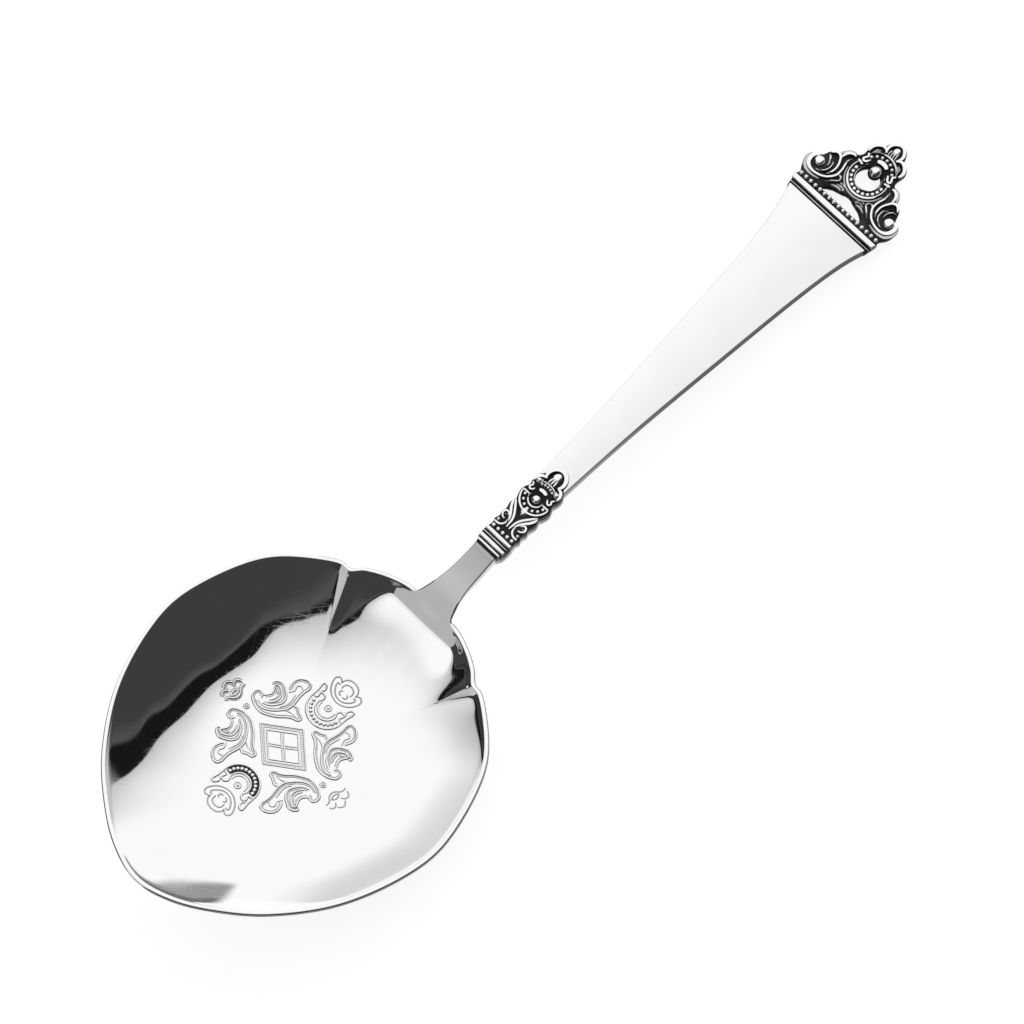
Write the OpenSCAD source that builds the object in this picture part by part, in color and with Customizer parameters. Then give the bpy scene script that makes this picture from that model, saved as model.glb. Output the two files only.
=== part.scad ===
// Tomato server struck from one piece of silver: a fluted round dish, an arched flat handle and a
// pierced crest. The dish is drawn level, and the whole piece is then tipped onto its heel and the
// back of its crest, which is how it comes to rest on a table.

/* [Dish] */
// Length from the front tip to the two flutes
dish_l = 72; // [60:1:88]
// Greatest width over the rim
dish_w = 67; // [56:1:81]
// Depth inside, from the rim down to the flat
dish_depth = 8.4; // [6.5:0.1:10]
// Thickness of the dish
gauge = 1.4; // [1.1:0.1:1.8]
// Share of the way out from the middle that stays flat
flat_share = 0.34; // [0.28:0.01:0.42]
// How sharply the wall turns up from the flat
wall_power = 2; // [1.8:0.1:2.4]
// How far the wall straightens toward the rim
wall_ease = 0.5; // [0.3:0.05:0.6]
// Reach of each pinched flute along the rim
flute_w = 1.5; // [1:0.1:2]
// Depth of each pinched flute at the rim
flute_d = 0.9; // [0.5:0.1:1.2]

/* [Medallion] */
// How far its raised lines stand over the dish
ridge_h = 0.22; // [0.15:0.01:0.3]
// Width of a raised line
ridge_w = 0.5; // [0.4:0.05:0.6]
// Beads in each crescent
crescent_beads = 11; // [9:1:12]

/* [Handle] */
// Length from the flutes to the bar of the crest
handle_l = 109; // [90:1:131]
// Height of the handle's face over the foot of the dish, at the bar
handle_rise = 32.2; // [27:0.1:38]
// Width of the neck below the collar
neck_w = 5; // [4.2:0.1:6]
// Thickness of the neck
neck_t = 3.6; // [2.9:0.1:4.4]
// Width of the strap where it leaves the ornament
strap_w = 6.2; // [5.2:0.1:7.4]
// Width of the strap at the bar
strap_end_w = 19.4; // [16.2:0.1:23.4]
// Thickness of the strap at the bar
strap_t = 2.2; // [1.8:0.1:2.7]

/* [Collar and knot] */
// Distance from the flutes to the collar
collar_x = 17.5; // [15:0.1:21]
// Width of the collar
collar_w = 6.2; // [5.2:0.1:7.4]
// Radius of the beaded ring on the knot
knot_r = 3.1; // [2.6:0.1:3.4]
// How far the knot stands proud of the handle
knot_proud = 0.7; // [0.5:0.1:1]

/* [Crest] */
// Thickness of the crest's pierced plate
crest_t = 1.7; // [1.4:0.1:2.1]
// Outer radius of the beaded ring
ring_r = 3.7; // [3.1:0.1:4.1]
// Radius of the hole in the ring
ring_hole_r = 2.25; // [1.9:0.05:2.6]
// Radius of the ball that hangs in the ring
ball_r = 1.25; // [1:0.05:1.5]
// Beads in the row along the bar
row_beads = 17; // [13:2:19]
// Beads round the ring
ring_beads = 15; // [12:1:18]

/* [Hidden] */
round_fn = 40;
half_w = dish_w / 2;
floor_z = gauge;
rim_z = floor_z + dish_depth;

// Points on an outline, as shares of the dish's length from the tip and of its half width
side_shares = [
    [0.028, 0.215], [0, 0], [0.028, -0.215], [0.081, -0.4], [0.175, -0.63], [0.324, -0.854],
    [0.5, -0.985], [0.651, -1], [0.857, -0.854], [0.978, -0.594], [1.005, -0.478], [1.03, -0.38]
];
lobe_shares = [
    [0.98, -0.57], [1.005, -0.478], [1.048, -0.34], [1.075, -0.19], [1.086, 0], [1.075, 0.19]
];
dish_mid = [-dish_l * 0.47, 0];
even_steps = [0, 0.25, 0.5, 0.75];
to_flute_steps = [0, 0.3, 0.55, 0.75, 0.88];
from_flute_steps = [0, 0.12, 0.28, 0.55, 0.8];

// Catmull-Rom curve through points 1 to n-2 of a list, at the given steps of each span
function curve_at(p, q, r, s, t) =
    q + (r - p) * t / 2 + (p - 2.5 * q + 2 * r - s / 2) * pow(t, 2)
        + (1.5 * (q - r) + (s - p) / 2) * pow(t, 3);
function span(points, i, steps) =
    [for (t = steps) curve_at(points[i - 1], points[i], points[i + 1], points[i + 2], t)];
function place(share) = [(share[0] - 1) * dish_l, share[1] * half_w];
function placed(shares) = [for (s = shares) place(s)];
function flatten(lists) = [for (l = lists) each l];
function mirrored(points) = [for (i = [len(points) - 1:-1:0]) [points[i][0], -points[i][1]]];

side_points = placed(side_shares);
lobe_points = placed(lobe_shares);
last_side = len(side_points) - 3;
side_line = flatten([for (i = [1:last_side])
    span(side_points, i, i == last_side ? to_flute_steps : even_steps)]);
lobe_line = flatten([for (i = [1:3])
    span(lobe_points, i, i == 1 ? from_flute_steps : even_steps)]);
half_rim = concat(side_line, lobe_line, [lobe_points[4]]);
rim_line = concat(half_rim, mirrored([for (i = [1:len(half_rim) - 2]) half_rim[i]]));
flute_at = side_points[last_side + 1];

// The dish's wall: share u runs from the edge of the flat to the rim
wall_steps = [for (k = [0:10]) k / 10];
function pinch(p) = max(0, 1 - norm([p[0], abs(p[1])] - [flute_at[0], abs(flute_at[1])]) / flute_w);
function wall_rise(u) = dish_depth * pow(u, wall_power) * (1 + wall_ease * (1 - u));
function wall_climb(u) =
    dish_depth * pow(u, wall_power - 1) * (wall_power * (1 + wall_ease * (1 - u)) - wall_ease * u);
function reach(p) = norm(p - dish_mid) - gauge * 0.66;
function wall_point(p, u, depth) =
    let (r = reach(p), run = r * (1 - flat_share), slope = atan(wall_climb(u) / run),
         out = (p - dish_mid) / norm(p - dish_mid),
         in_r = r * (flat_share + (1 - flat_share) * u) - flute_d * pinch(p) * pow(u, 1.4),
         xy = dish_mid + out * (in_r + depth * sin(slope)))
    [xy[0], xy[1], floor_z + wall_rise(u) - depth * cos(slope)];

inner_rings = [for (u = wall_steps) [for (p = rim_line) wall_point(p, u, 0)]];
outer_rings = [for (k = [len(wall_steps) - 1:-1:0])
    [for (p = rim_line) wall_point(p, wall_steps[k], gauge)]];

// The medallion struck in the dish: its lines are drawn from its middle, toward the neck and across
medal_mid = [-dish_l * 0.431, 0];
ridge_root = 0.6;
seam = 0.06;
dish_reach = [dish_l * 0.528, half_w * 0.973];
window = [5, 6];
window_frame = 0.55;
pane = [3.3, 4];
crescent_x = 10.55;
scroll_ridges = [
    [[3.1, 9.5], [3.8, 9.8], [3.9, 10.6], [3.3, 11.1], [2.3, 11], [1.5, 10], [1.1, 8.6], [1.2, 7.3], [1.9, 6],
     [2.8, 4.8], [3.9, 3.8], [4.6, 2.9], [4.9, 2.1], [5.4, 1.7], [6, 1.9], [6.3, 2.8], [6.8, 3.7]],
    [[2.2, 9.9], [1.8, 8.8], [2.1, 7.5], [3, 6.3], [4, 5.5], [5.1, 4.8], [6.4, 4.6], [7.6, 4.8], [8.7, 5],
     [9.8, 4.9], [10.9, 4.9], [11.4, 5.6], [11.2, 6.5], [10.5, 7.3], [9.7, 7.7], [8.7, 7.5]],
    [[2.6, 8.7], [3.3, 7.4], [4.4, 6.6], [5.6, 6.2], [6.7, 6.7], [7.5, 7.6], [7.9, 8.7], [7.6, 9.7],
     [6.8, 10.2]],
    [[3.5, 8], [4.4, 7.4], [5.7, 7.2], [6.6, 7.9], [7, 8.8], [6.6, 9.3]],
    [[6.2, 9.1], [5.6, 8.9], [4.9, 8.9], [3.9, 9.5]],
    [[7.6, 6.9], [8.5, 6.5], [9.4, 6.8], [9.9, 6.3], [9.6, 5.6]]
];
tuft_ridges = [
    [[10.9, 3.2], [11.6, 3.3], [12.3, 2.8], [12.3, 2.1], [11.6, 1.8]],
    [[11, 4.1], [12.2, 4], [13.4, 4.1], [14, 3.7], [13.5, 3.1], [12.6, 3.1]]
];
palmette_ridges = [
    [[13.7, 0.4], [14.2, 1.7], [14.9, 3], [15.8, 3.6], [16.4, 3], [16.3, 2.2]],
    [[16.5, 1.9], [17.5, 1.9], [18.2, 1.2], [18.4, 0]]
];
flower_ridges = [
    [[0, 12], [0.9, 12.4], [1.6, 13.1], [2.5, 13.2]],
    [[0.5, 14], [1.2, 14.5], [1.9, 14.5], [2.4, 13.9]],
    [[0, 15.4], [0.7, 15.2], [1.2, 14.6]],
    [[0, 13.3], [0.6, 13.1], [1, 12.9]]
];
function floor_height(p) =
    let (share = norm([(p[0] - dish_mid[0]) / dish_reach[0], p[1] / dish_reach[1]]))
    floor_z + wall_rise(max(0, share - flat_share) / (1 - flat_share));
function on_dish(p, front, side) = medal_mid + [front * p[0], side * p[1]];
function all_on_dish(points, front, side) = [for (p = points) on_dish(p, front, side)];
function smooth_line(points) =
    let (n = len(points), after = 2 * points[n - 1] - points[n - 2],
         padded = concat([2 * points[0] - points[1]], points, [after]))
    concat(flatten([for (i = [1:n - 1]) span(padded, i, [0, 0.5])]), [points[n - 1]]);

// One raised line, struck from the floor of the dish under its middle point
module ridge(points, height) {
    foot = floor_height(points[floor(len(points) / 2)]);
    translate([0, 0, foot - ridge_root]) stroke(smooth_line(points), ridge_w, ridge_root + height);
}

module ridges(drawing, front, side) {
    for (i = [0:len(drawing) - 1])
        ridge(all_on_dish(drawing[i], front, side), ridge_h - 0.01 * i);
}

module lozenge_frame(half, width) {
    k = 1 - width / half[0];
    corners = [[half[0], 0], [0, half[1]], [-half[0], 0], [0, -half[1]]];
    difference() {
        polygon(corners);
        polygon(k * corners);
    }
}

module medal_window() {
    translate([medal_mid[0], medal_mid[1], floor_z - ridge_root]) {
        linear_extrude(ridge_root + ridge_h) lozenge_frame(window, window_frame);
        linear_extrude(ridge_root + ridge_h * 0.9) lozenge_frame(pane, window_frame * 0.8);
        for (side = [-1, 1])
            linear_extrude(ridge_root + ridge_h * (0.75 + 0.05 * side))
                polygon([[-1.9, side * 1.8], [-1.5, side * 2.1], [1.9, side * -1.8], [1.5, side * -2.1]]);
    }
}

module crescent(front) {
    mid = on_dish([crescent_x, 0], front, 1);
    eye_mid = on_dish([crescent_x + 0.4, 0], front, 1);
    facing = front > 0 ? 180 : 0;
    ridge([for (t = [-84:14:84]) mid + 3.75 * [cos(facing + t), sin(facing + t)]], ridge_h);
    ridge([for (t = [-98:14:98]) mid + 1.9 * [cos(facing + t), sin(facing + t)]], ridge_h * 0.9);
    translate([0, 0, floor_height(mid) - seam]) {
        bead_arc(mid, 2.85, facing - 78, facing + 78, crescent_beads, 0.32);
        translate([eye_mid[0], eye_mid[1], 0]) {
            round_ring(0.55, 0.17);
            bead(0.25);
        }
    }
}

module medallion() {
    medal_window();
    for (front = [-1, 1]) {
        crescent(front);
        for (side = [-1, 1]) {
            ridges(scroll_ridges, front, side);
            ridges(tuft_ridges, front, side);
            ridges(palmette_ridges, front, side);
            ridges(flower_ridges, front, side);
        }
    }
    for (side = [-1, 1]) {
        dot = on_dish([0.3, 10.1], 1, side);
        translate([dot[0], dot[1], floor_height(dot) - seam]) {
            round_ring(0.5, 0.15);
            bead(0.22);
        }
    }
}

// Stations along the handle: x, share of the rise, half width, how far the back sets forward, thickness
knot_l = 20.5;
strap_x = collar_x + knot_l;
strap_l = handle_l - strap_x;
collar_rise = 0.37;
strap_rise = 0.58;
root_w = half_w * 0.257;
stations = [
    [4.2, -0.07, root_w, -2, neck_t * 0.84], [5.1, -0.02, root_w * 0.75, -2, neck_t * 0.86],
    [6.6, 0.075, 4.2, -1.2, neck_t * 0.95], [9, 0.19, neck_w / 2 + 0.4, -0.8, neck_t],
    [12.5, 0.28, neck_w / 2 + 0.1, 0.4, neck_t], [collar_x, collar_rise, neck_w / 2, 0.6, neck_t],
    [collar_x + 8, 0.47, 2.7, 0.5, neck_t], [strap_x, strap_rise, strap_w / 2, 0.3, neck_t * 0.84],
    [strap_x + strap_l * 0.3, 0.72, strap_w / 2 + 1.15, 0, (neck_t + strap_t) * 0.45],
    [strap_x + strap_l * 0.62, 0.86, strap_end_w / 2 - 3.7, 0, strap_t * 1.05],
    [handle_l - 8, 0.967, strap_end_w / 2 - 2.1, 0, strap_t],
    [handle_l - 2.5, 0.99, strap_end_w / 2 - 0.7, 0, strap_t],
    [handle_l + 0.8, 1, strap_end_w / 2, 0, strap_t]
];
function rise(share) = rim_z + (handle_rise - rim_z) * share;
function face_of(s) = [s[0], rise(s[1])];
function back_of(s) = [s[0] + s[3], rise(s[1]) - s[4]];
edge_round = 0.35;
first_station = stations[0];
last_station = stations[len(stations) - 1];
padded_stations = concat([2 * first_station - stations[1]], stations,
    [2 * last_station - stations[len(stations) - 2]]);
station_steps = [0, 0.34, 0.67];
handle_line = concat(
    flatten([for (i = [1:len(padded_stations) - 3]) span(padded_stations, i, station_steps)]),
    [last_station]);

// One eight-sided cross section with bevelled edges, seen from the front of the dish
function section(s) =
    let (e = edge_round, hw = s[2], face = face_of(s), back = back_of(s),
         down = (back - face) / norm(back - face),
         top = face + down * e, low = back - down * e)
    [[face[0], -hw + e, face[1]], [face[0], hw - e, face[1]], [top[0], hw, top[1]], [low[0], hw, low[1]],
     [back[0], hw - e, back[1]], [back[0], -hw + e, back[1]], [low[0], -hw, low[1]], [top[0], -hw, top[1]]];

// A closed skin over rings of equal count, with both ends capped
module skin(rings) {
    n = len(rings[0]);
    last = len(rings) - 1;
    sides = [for (k = [0:last - 1], i = [0:n - 1])
        let (a = k * n + i, b = k * n + (i + 1) % n)
        each [[a, b, a + n], [b, b + n, a + n]]];
    caps = [[for (i = [n - 1:-1:0]) i], [for (i = [0:n - 1]) last * n + i]];
    polyhedron(points = flatten(rings), faces = concat(sides, caps), convexity = 6);
}

module dish() {
    skin(concat(inner_rings, outer_rings));
}

module handle() {
    skin([for (s = handle_line) section(s)]);
}

// A bar across the handle with round ends and edges
module round_bar(length, width, thick) {
    r = min(length, thick) / 2;
    translate([length / 2, -width / 2 + r, 0]) rotate([-90, 0, 0])
        linear_extrude(width - 2 * r) bar_section(length, thick, r);
    for (side = [-1, 1])
        translate([length / 2, side * (width / 2 - r), 0])
            sphere(r = r, $fn = round_fn);
}

module bar_section(length, thick, r) {
    for (side = [-1, 1])
        translate([0, side * (thick / 2 - r)]) circle(r = r, $fn = round_fn);
    square([2 * r, max(thick - 2 * r, 0.01)], center = true);
}

// A flat stroke that follows points and swells to its middle
function stroke_side(points, width, side) =
    [for (i = [0:len(points) - 1])
        let (a = points[max(i - 1, 0)], b = points[min(i + 1, len(points) - 1)],
             d = (b - a) / norm(b - a), t = i / (len(points) - 1),
             w = width * (0.45 + 0.55 * sin(180 * t)))
        points[i] + side * w / 2 * [-d[1], d[0]]];
module stroke(points, width, thick) {
    left = stroke_side(points, width, 1);
    right = stroke_side(points, width, -1);
    linear_extrude(thick) polygon(concat(left, [for (i = [len(right) - 1:-1:0]) right[i]]));
}
function coil(mid, r_out, r_in, from, to, steps) =
    [for (k = [0:steps]) let (t = from + (to - from) * k / steps, r = r_out + (r_in - r_out) * k / steps)
        mid + r * [cos(t), sin(t)]];

module bead(r) {
    sphere(r = r, $fn = round_fn);
}

module bead_row(count, pitch, r) {
    for (k = [0:count - 1])
        translate([0, (k - (count - 1) / 2) * pitch, 0]) bead(r);
}

module bead_arc(mid, radius, from, to, count, r) {
    for (k = [0:count - 1])
        let (t = from + (to - from) * k / (count - 1))
            translate([mid[0] + radius * cos(t), mid[1] + radius * sin(t), 0]) bead(r);
}

// A ring with a half-round section
module round_ring(radius, wire) {
    rotate_extrude($fn = 72) translate([radius, 0]) circle(r = wire, $fn = 24);
}

// Three ribs that fan out inside a lobe, the middle one along its facing
module lobe_ribs(r, facing) {
    for (turn = [-32, 0, 32])
        rotate([0, 0, facing]) translate([-r * 0.45, 0, -0.9]) rotate([0, 0, turn])
            linear_extrude(0.72 + turn / 1000)
                polygon([[0, -0.08], [r * 1.1, -0.17], [r * 1.1, 0.17], [0, 0.08]]);
}

// Three lobes in a fan, each a dished and ribbed cup with a raised edge
module palmette(side_mid, side_r, top_mid, top_r, thick, cup) {
    difference() {
        union() {
            for (side = [-1, 1])
                translate([side_mid[0], side * side_mid[1], 0])
                    cylinder(h = thick, r = side_r, $fn = round_fn);
            translate([top_mid, 0, 0]) cylinder(h = thick, r = top_r, $fn = round_fn);
        }
        for (side = [-1, 1])
            translate([side_mid[0], side * side_mid[1], thick + side_r * 0.55])
                sphere(r = side_r - cup + 0.25, $fn = round_fn);
        translate([top_mid, 0, thick + top_r * 0.55]) sphere(r = top_r - cup + 0.25, $fn = round_fn);
    }
    for (side = [-1, 1])
        translate([side_mid[0], side * side_mid[1], thick]) lobe_ribs(side_r, side * 55);
    translate([top_mid, 0, thick]) lobe_ribs(top_r, 0);
}

// The knot: collar mouldings, a row of beads, two pairs of leaves, a beaded ring and a small palmette
knot_pitch = atan((rise(strap_rise) - rise(collar_rise)) / knot_l);
knot_back = knot_proud * 0.6;
bump = 0.3;
knot_ring_x = 12.9;
knot_half_outline = [
    [0.4, 2.2], [4.8, 2.5], [5.4, 2.95], [6.6, 3], [7.3, 2.75], [8.1, 3.2], [9.2, 3.25], [10, 2.9],
    [10.7, 3.05], [11.6, 3.3], [12.8, 3.35], [14, 3.15], [14.8, 2.8], [15.4, 3.3], [16.4, 3.65],
    [17.4, 3.4], [18, 2.6], [18.8, 2.15], [19.9, 1.5], [20.4, 0.8]
];
leaf_line = [[5.6, 0.6], [6.6, 0.7], [7.8, 1.2], [8.8, 1.9], [9.9, 2.6]];
leaf_curl = [[5.4, 1.9], [6, 2.4], [6.8, 2.5], [7.5, 2.1], [7.6, 1.6]];
module knot() {
    body_t = neck_t + 2 * knot_proud;
    translate([collar_x, 0, rise(collar_rise)]) rotate([0, -knot_pitch, 0]) {
        translate([0, 0, -neck_t - knot_back])
            linear_extrude(neck_t + 2 * knot_back)
                polygon(concat(knot_half_outline, mirrored(knot_half_outline)));
        translate([0, 0, -neck_t / 2]) {
            round_bar(0.9, collar_w - 0.2, body_t - 0.3);
            translate([1, 0, 0]) round_bar(1.5, collar_w, body_t);
            translate([2.6, 0, 0]) round_bar(1.2, collar_w + 0.1, body_t);
        }
        translate([0, 0, knot_back - seam]) {
            translate([4.3, 0, 0]) bead_row(5, 1.05, 0.48);
            for (side = [-1, 1]) scale([1, side, 1]) {
                translate([0, 0, -bump]) stroke(leaf_line, 1, 2 * bump);
                translate([0, 0, -bump]) stroke(leaf_curl, 0.8, 2 * bump);
            }
            translate([knot_ring_x, 0, 0]) {
                round_ring(knot_r - 0.25, 0.25);
                round_ring(1.4, 0.25);
                bead(0.8);
            }
            bead_arc([knot_ring_x, 0], knot_r * 0.7, 80, 280, 9, 0.34);
            bead_arc([knot_ring_x + 0.5, 0], knot_r * 0.7, -48, 48, 5, 0.3);
            translate([0, 0, -2 * bump]) palmette([16.4, 2], 1.45, 18.4, 1.95, 1.1, 0.35);
        }
    }
}

// The crest: bar, bead row, pierced plate with two scrolled leaves, beaded ring with its ball, palmette
crest_pitch = 3;
crest_drop = 0.25;
bar_l = 2.2;
bar_t = crest_t + 0.9;
row_x = 2.75;
arch_x = row_x + 0.5;
arch_foot = strap_end_w / 4;
arch_rise = 2;
arch_r = (arch_foot * arch_foot + arch_rise * arch_rise) / (2 * arch_rise);
eye = [6.5, strap_end_w * 0.438];
ring_x = 10.1;
crest_l = 19.1;
crest_drawn_w = 19.4;
crest_spread = strap_end_w / crest_drawn_w;
function spread(points) = [for (p = points) [p[0], p[1] * crest_spread]];
crest_half_outline = spread([
    [0.3, 9.5], [2.6, 10.1], [4.1, 10.45], [5.4, 10.7], [6.7, 10.4], [7.8, 9.5], [8.3, 8.4], [9.2, 8.3],
    [9.9, 7.5], [9.8, 6.6], [10.8, 6.4], [11.6, 5.6], [11.7, 4.5], [12.6, 4.1], [13.4, 3.5], [13.9, 4],
    [14.8, 4.5], [15.9, 4.5], [16.8, 3.9], [17.1, 3], [16.9, 2.2], [17.6, 2.2], [18.6, 1.7], [19.1, 0.8]
]);
module crest_plate() {
    difference() {
        linear_extrude(crest_t) polygon(concat(crest_half_outline, mirrored(crest_half_outline)));
        translate([0, 0, -1]) intersection() {
            translate([arch_x, -arch_foot - 1, 0]) cube([arch_rise + 1, 2 * arch_foot + 2, crest_t + 2]);
            translate([arch_x + arch_rise - arch_r, 0, 0])
                cylinder(h = crest_t + 2, r = arch_r, $fn = 96);
        }
        translate([ring_x, 0, -1]) cylinder(h = crest_t + 2, r = ring_hole_r, $fn = 72);
    }
}

tie_line = spread([[11.5, 3.9], [12.2, 4], [12.9, 3.5], [12.8, 2.8], [12.2, 2.6]]);
module scrolled_leaf() {
    stroke(coil(eye, 1.95, 0.75, -150, 170, 24), 0.7, 0.65);
    stroke(spread([[4.6, 8.3], [4.3, 7], [4.9, 5.7], [6, 4.7], [6.9, 4.2]]), 0.75, 0.6);
    stroke(spread([[5.6, 6.9], [6.9, 6.2], [8.2, 5.9], [9.4, 5], [9.9, 4.1]]), 0.7, 0.6);
    stroke(spread([[6.9, 7], [8, 7], [9, 6.8], [9.4, 7.3], [8.9, 7.9]]), 0.65, 0.6);
    stroke(spread([[9.3, 6.1], [10.3, 5.9], [11, 5.3], [10.9, 4.6]]), 0.55, 0.6);
    stroke(tie_line, 0.6, 0.55);
    translate([eye[0], eye[1], 0.2]) bead(0.62);
}

module crest() {
    relief_z = crest_t - 0.1;
    translate([handle_l, 0, rise(1) - crest_t - crest_drop]) rotate([0, -crest_pitch, 0]) {
        crest_plate();
        translate([0, 0, crest_t / 2]) {
            round_bar(1, strap_end_w + 0.2, bar_t - 0.2);
            translate([bar_l - 1.3, 0, 0]) round_bar(1.3, strap_end_w + 0.7, bar_t);
        }
        translate([row_x, 0, relief_z]) bead_row(row_beads, (strap_end_w - 0.8) / (row_beads - 1), 0.44);
        translate([0, 0, relief_z])
            for (side = [-1, 1]) scale([1, side, 1]) scrolled_leaf();
        translate([ring_x, 0, relief_z]) {
            round_ring(ring_r - 0.22, 0.3);
            round_ring(ring_hole_r + 0.22, 0.25);
        }
        translate([0, 0, relief_z])
            bead_arc([ring_x, 0], (ring_r + ring_hole_r) / 2, 60, 300, ring_beads, 0.36);
        translate([ring_x + ring_hole_r - ball_r * 0.2, 0, crest_t * 0.55]) bead(ball_r);
        translate([0, 0, relief_z]) bead_arc([ring_x + 1.6, 0], 2.35, -65, 65, 7, 0.34);
        translate([0, 0, 0.4]) palmette([15.5, 2.75], 1.6, 17.2, 1.85, crest_t, 0.35);
    }
}

// How the piece lies: rolled back until the crest's back and the dish's heel touch one level line
heel_points = [for (ring = outer_rings, p = ring) [p[0], p[2]]];
function crest_point(a, z) = [handle_l + a * cos(crest_pitch) - z * sin(crest_pitch),
    rise(1) - crest_t - crest_drop + a * sin(crest_pitch) + z * cos(crest_pitch)];
bar_back = crest_point(bar_l / 2, (crest_t - bar_t) / 2);
back_points = concat([crest_point(0, 0), crest_point(crest_l, 0), bar_back],
    [for (s = handle_line) if (s[0] > strap_x) back_of(s)]);
heel_reach = 30;
rest_tilt = min([for (h = back_points)
    max([for (v = heel_points) if (v[0] < h[0] - heel_reach) atan((h[1] - v[1]) / (h[0] - v[0]))])]);
function tipped(p) =
    [p[0] * cos(rest_tilt) + p[1] * sin(rest_tilt), p[1] * cos(rest_tilt) - p[0] * sin(rest_tilt)];
lowest = min([for (v = heel_points) tipped(v)[1]]);
front_x = min([for (v = heel_points) tipped(v)[0]]);
end_x = tipped(crest_point(crest_l, crest_t))[0];
middle_x = (front_x + end_x) / 2;

module tomato_server() {
    color("silver")
        translate([-middle_x, 0, -lowest]) rotate([0, rest_tilt, 0]) {
            dish();
            medallion();
            handle();
            knot();
            crest();
        }
}

tomato_server();
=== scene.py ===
import bpy
import bmesh
from math import sin, cos, atan, atan2, radians, pi, hypot, exp, copysign
from mathutils import Matrix, Vector


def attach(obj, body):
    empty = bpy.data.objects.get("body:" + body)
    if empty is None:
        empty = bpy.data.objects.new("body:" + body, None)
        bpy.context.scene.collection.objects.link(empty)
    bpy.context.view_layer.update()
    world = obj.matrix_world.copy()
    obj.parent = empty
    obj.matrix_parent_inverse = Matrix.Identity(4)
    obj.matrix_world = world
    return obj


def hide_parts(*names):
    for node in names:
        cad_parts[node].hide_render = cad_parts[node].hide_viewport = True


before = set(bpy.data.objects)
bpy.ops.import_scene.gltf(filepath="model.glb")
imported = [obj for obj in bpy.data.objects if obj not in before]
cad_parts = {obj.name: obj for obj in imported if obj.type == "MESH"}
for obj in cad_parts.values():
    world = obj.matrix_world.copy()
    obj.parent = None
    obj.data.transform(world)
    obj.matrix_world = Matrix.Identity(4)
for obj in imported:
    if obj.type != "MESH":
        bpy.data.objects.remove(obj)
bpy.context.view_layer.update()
scene = bpy.context.scene
scene.view_settings.view_transform = "Standard"

# shared tools
mm = 0.001  # drawings are in millimetres, the table's frame is in metres
seat = {"tilt": 12.1231, "middleX": 31.8655, "lowest": 3.6555}  # how the level drawing lies on the table
sharpAngle = radians(50)


def seatMatrix():
    onTable = Matrix.Translation((-seat["middleX"], 0, -seat["lowest"]))
    return Matrix.Scale(mm, 4) @ (onTable @ Matrix.Rotation(radians(seat["tilt"]), 4, "Y"))


def deselectAll():
    if bpy.context.object and bpy.context.object.mode != "OBJECT":
        bpy.ops.object.mode_set(mode="OBJECT")
    bpy.ops.object.select_all(action="DESELECT")


def take(piece):
    deselectAll()
    piece.select_set(True)
    bpy.context.view_layer.objects.active = piece


def settle():
    bpy.ops.object.transform_apply(location=True, rotation=True, scale=True)


def lay(piece, local=None):
    # moves a finished piece from its own drawing to its place on the table
    take(piece)
    piece.matrix_world = seatMatrix() @ (local or Matrix.Identity(4)) @ piece.matrix_world
    settle()


def applyModifiers(piece):
    take(piece)
    for m in list(piece.modifiers):
        bpy.ops.object.modifier_apply(modifier=m.name)


def curveAt(points, t):
    # Catmull-Rom curve through points, t from 0 to len - 1
    last = len(points) - 1
    i = min(int(t), last - 1)
    f = t - i
    p = [points[max(0, min(last, i + k))] for k in (-1, 0, 1, 2)]
    return [b + (c - a) * f / 2 + (a - 2.5 * b + 2 * c - d / 2) * f ** 2
            + (1.5 * (b - c) + (d - a) / 2) * f ** 3 for a, b, c, d in zip(*p)]


def smooth(a, b, x):
    t = max(0, min(1, (x - a) / (b - a)))
    return t * t * (3 - 2 * t)


# camera: degrees and millimetres, aimed a little off the part's middle
shot = {"lens": 196.9, "sensor": 36, "clip": (0.01, 20), "distance": 1026.8, "elevation": 75, "turn": 45.7,
        "aim": (3.106, -1.356)}


def makeCamera():
    e, t = radians(shot["elevation"]), radians(shot["turn"])
    bpy.ops.object.camera_add(rotation=(pi / 2 - e, 0, -t))
    cam = bpy.context.object
    cam.name = "photoCamera"
    cam.data.lens, cam.data.sensor_width = shot["lens"], shot["sensor"]
    cam.data.clip_start, cam.data.clip_end = shot["clip"]
    x, y = -shot["aim"][0], -shot["distance"] * cos(e) - shot["aim"][1]
    z = shot["distance"] * sin(e)
    cam.location = Vector((x * cos(t) + y * sin(t), -x * sin(t) + y * cos(t), z)) * mm
    scene.camera = cam


makeCamera()
print("camera placed")


# shader helpers
def node(tree, kind, inputs=None, **settings):
    # inputs: socket name or number -> value, or the output to link
    n = tree.nodes.new("ShaderNode" + kind)
    for key, value in settings.items():
        setattr(n, key, value)
    for key, value in (inputs or {}).items():
        if isinstance(value, bpy.types.NodeSocket):
            tree.links.new(value, n.inputs[key])
        else:
            n.inputs[key].default_value = value
    return n


def calc(tree, operation, *values):
    return node(tree, "Math", dict(enumerate(values)), operation=operation).outputs[0]


def product(tree, first, *others):
    for value in others:
        first = calc(tree, "MULTIPLY", first, value)
    return first


def mixed(tree, share, a, b):
    return node(tree, "Mix", {0: share, 2: a, 3: b}).outputs[0]


def step(tree, value, low, high, a=0, b=1):
    # a at low, b at high, soft in between
    inputs = {"Value": value, "From Min": low, "From Max": high, "To Min": a, "To Max": b}
    return node(tree, "MapRange", inputs, interpolation_type="SMOOTHSTEP").outputs[0]


def between(tree, value, low, high, near, far):
    # 1 from low to high, soft by near and far at the two ends
    past = step(tree, value, low - near, low + near)
    return product(tree, past, step(tree, value, high - far, high + far, 1, 0))


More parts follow.
